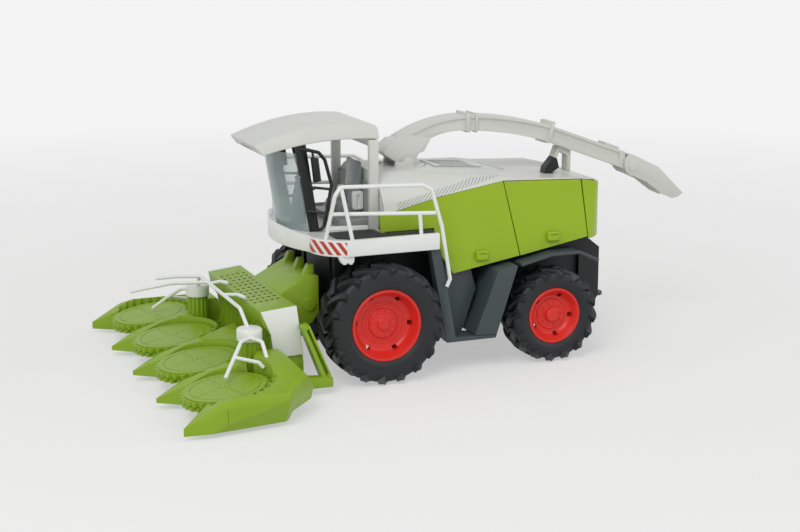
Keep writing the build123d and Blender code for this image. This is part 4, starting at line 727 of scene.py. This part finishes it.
def detailed_rim(end, centre):
    x, y, z = centre
    rows, nut_ring, nuts, notch_ring, notches, first_turn = rim_table[end]
    rim = lathed(f"detailed_rim_{end}_left", rows, centre, wheel_steps)
    cutters = []
    for k in range(notches):
        notch = block(
            "notch", (x + notch_ring - notch_in, y + notch_depth[0], z - notch_half),
            (x + notch_ring + notch_out, y + notch_depth[1], z + notch_half),
        )
        notch.data.transform(turned(centre, -first_turn - k * 360 / notches))
        cutters.append(notch)
    carved(rim, cutters)
    bevelled(rim, 0.15 * MM, segments=1, angle=50)
    face = next(out for out, ring in rows[::-1] if ring < nut_ring)
    parts = [rim]
    for k in range(nuts):
        a = 2 * math.pi * k / nuts
        place = (x + nut_ring * math.cos(a), y + face + nut_raise, z + nut_ring * math.sin(a))
        parts.append(stud("nut", place, nut_radius, nut_length))
    return joined(rim.name, parts)


for end, (x, y, radius, half, lip, rim_half, lugs) in wheel_table.items():
    centre = (x, y, radius)
    parts = [tyre_carcass(f"tyre_{end}", centre, radius, half, lip, rim_half)]
    for side, shift in ((1, 0.0), (-1, 0.5)):
        first = tyre_lug(f"lug_{end}", centre, radius, half, side)
        for k in range(lugs):
            parts.append(copied(first, "lug", turned(centre, (k + shift) * 360 / lugs)))
        bpy.data.objects.remove(first, do_unlink=True)
    tyre = joined(f"detailed_tyre_{end}_left", parts)
    other = mirrored(tyre, f"detailed_tyre_{end}_right")
    for piece, hand in ((tyre, "left"), (other, "right")):
        dress(piece, tyre_pvc, f"wheel_{end}_{hand}")
        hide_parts(f"tyre_{end}_{hand}")
    rim = detailed_rim(end, centre)
    other = mirrored(rim, f"detailed_rim_{end}_right")
    for piece, hand in ((rim, "left"), (other, "right")):
        dress(piece, red_pp, f"wheel_{end}_{hand}", smooth=30.0)
        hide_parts(f"rim_{end}_{hand}")

# ---------------------------------------------------------------- table, light and camera
floor_colour, room_light = "#F4F4F3", 0.5
floor_glow = (0.5, 1.0)      # share of plain white in the floor's look, near the machine and far away
floor_near, floor_far = 0.35, 1.3


def seen_or_mirrored(tree):
    """1 for what the camera sees, directly or in gloss or through glass; 0 for light on the machine."""
    ray = put(tree, "ShaderNodeLightPath").outputs
    side = math_node(tree, "MAXIMUM", ray["Is Glossy Ray"], ray["Is Transmission Ray"])
    return math_node(tree, "MAXIMUM", ray["Is Camera Ray"], side)


def pale_floor():
    """Matt white table top, lifted towards white; it keeps the shadow near the machine."""
    made, tree = new_material("matt_white_table")
    place = put(tree, "ShaderNodeTexCoord").outputs["Object"]
    mottle = put(tree, "ShaderNodeTexNoise", None, Vector=place, Scale=6.0, Detail=2.0)
    tone = put(
        tree, "ShaderNodeMix", {"data_type": "RGBA"}, Factor=mottle.outputs["Fac"],
        i6=linear("#F0F0EF"), i7=linear(floor_colour),
    ).outputs[2]
    matt = put(tree, "ShaderNodeBsdfDiffuse", None, Color=tone)
    glow = put(tree, "ShaderNodeEmission", None, Color=linear("#F3F3F3"), Strength=1.0)
    away = put(tree, "ShaderNodeVectorMath", {"operation": "LENGTH"}, i0=place).outputs["Value"]
    lift = put(
        tree, "ShaderNodeMapRange", None, Value=away, From_Min=floor_near, From_Max=floor_far,
        To_Min=floor_glow[0], To_Max=floor_glow[1],
    ).outputs[0]
    share = math_node(tree, "MULTIPLY", seen_or_mirrored(tree), lift)
    surface = put(tree, "ShaderNodeMixShader", None, i0=share, i1=matt.outputs[0], i2=glow.outputs[0])
    put(tree, "ShaderNodeOutputMaterial", None, Surface=surface.outputs[0])
    return made


deselect()
bpy.ops.mesh.primitive_plane_add(size=14.0, location=(0, 0, 0))
floor = bpy.context.object
floor.name = "floor"
floor.data.materials.append(pale_floor())

world = bpy.data.worlds.new("studio")
bpy.context.scene.world = world
world.use_nodes = True
sky = world.node_tree
sky.nodes.clear()
dim = put(sky, "ShaderNodeBackground", None, Color=linear("#FFFFFF"), Strength=room_light)
bright = put(sky, "ShaderNodeBackground", None, Color=linear("#F3F3F3"), Strength=1.0)
blend = put(
    sky, "ShaderNodeMixShader", None, i0=seen_or_mirrored(sky), i1=dim.outputs[0], i2=bright.outputs[0]
)
put(sky, "ShaderNodeOutputWorld", None, Surface=blend.outputs[0])


def softbox(name, place, aim, size, watts):
    """A square lamp turned towards a point."""
    lamp = bpy.data.lights.new(name, "AREA")
    lamp.shape = "SQUARE"
    lamp.size = size
    lamp.energy = watts
    rig = shown(name, lamp)
    rig.location = place
    rig.rotation_euler = (Vector(aim) - Vector(place)).to_track_quat("-Z", "Y").to_euler()


softbox("key", (1.1, 1.3, 1.7), (0, 0, 0.08), 1.1, 20.0)
softbox("fill", (-1.6, 1.2, 1.2), (0, 0, 0.08), 1.6, 8.0)

camera_place = Vector((0.48014, 1.15435, 0.35518))
camera_aim = Vector((0.01642, 0.0, 0.06938))
camera = shown("camera", bpy.data.cameras.new("camera"))
camera.location = camera_place
camera.rotation_euler = (camera_aim - camera_place).to_track_quat("-Z", "Y").to_euler()
camera.data.lens = 73.9
camera.data.sensor_width = 36.0
camera.data.clip_start, camera.data.clip_end = 0.05, 40.0
bpy.context.scene.camera = camera
bpy.context.scene.view_settings.view_transform = "Standard"
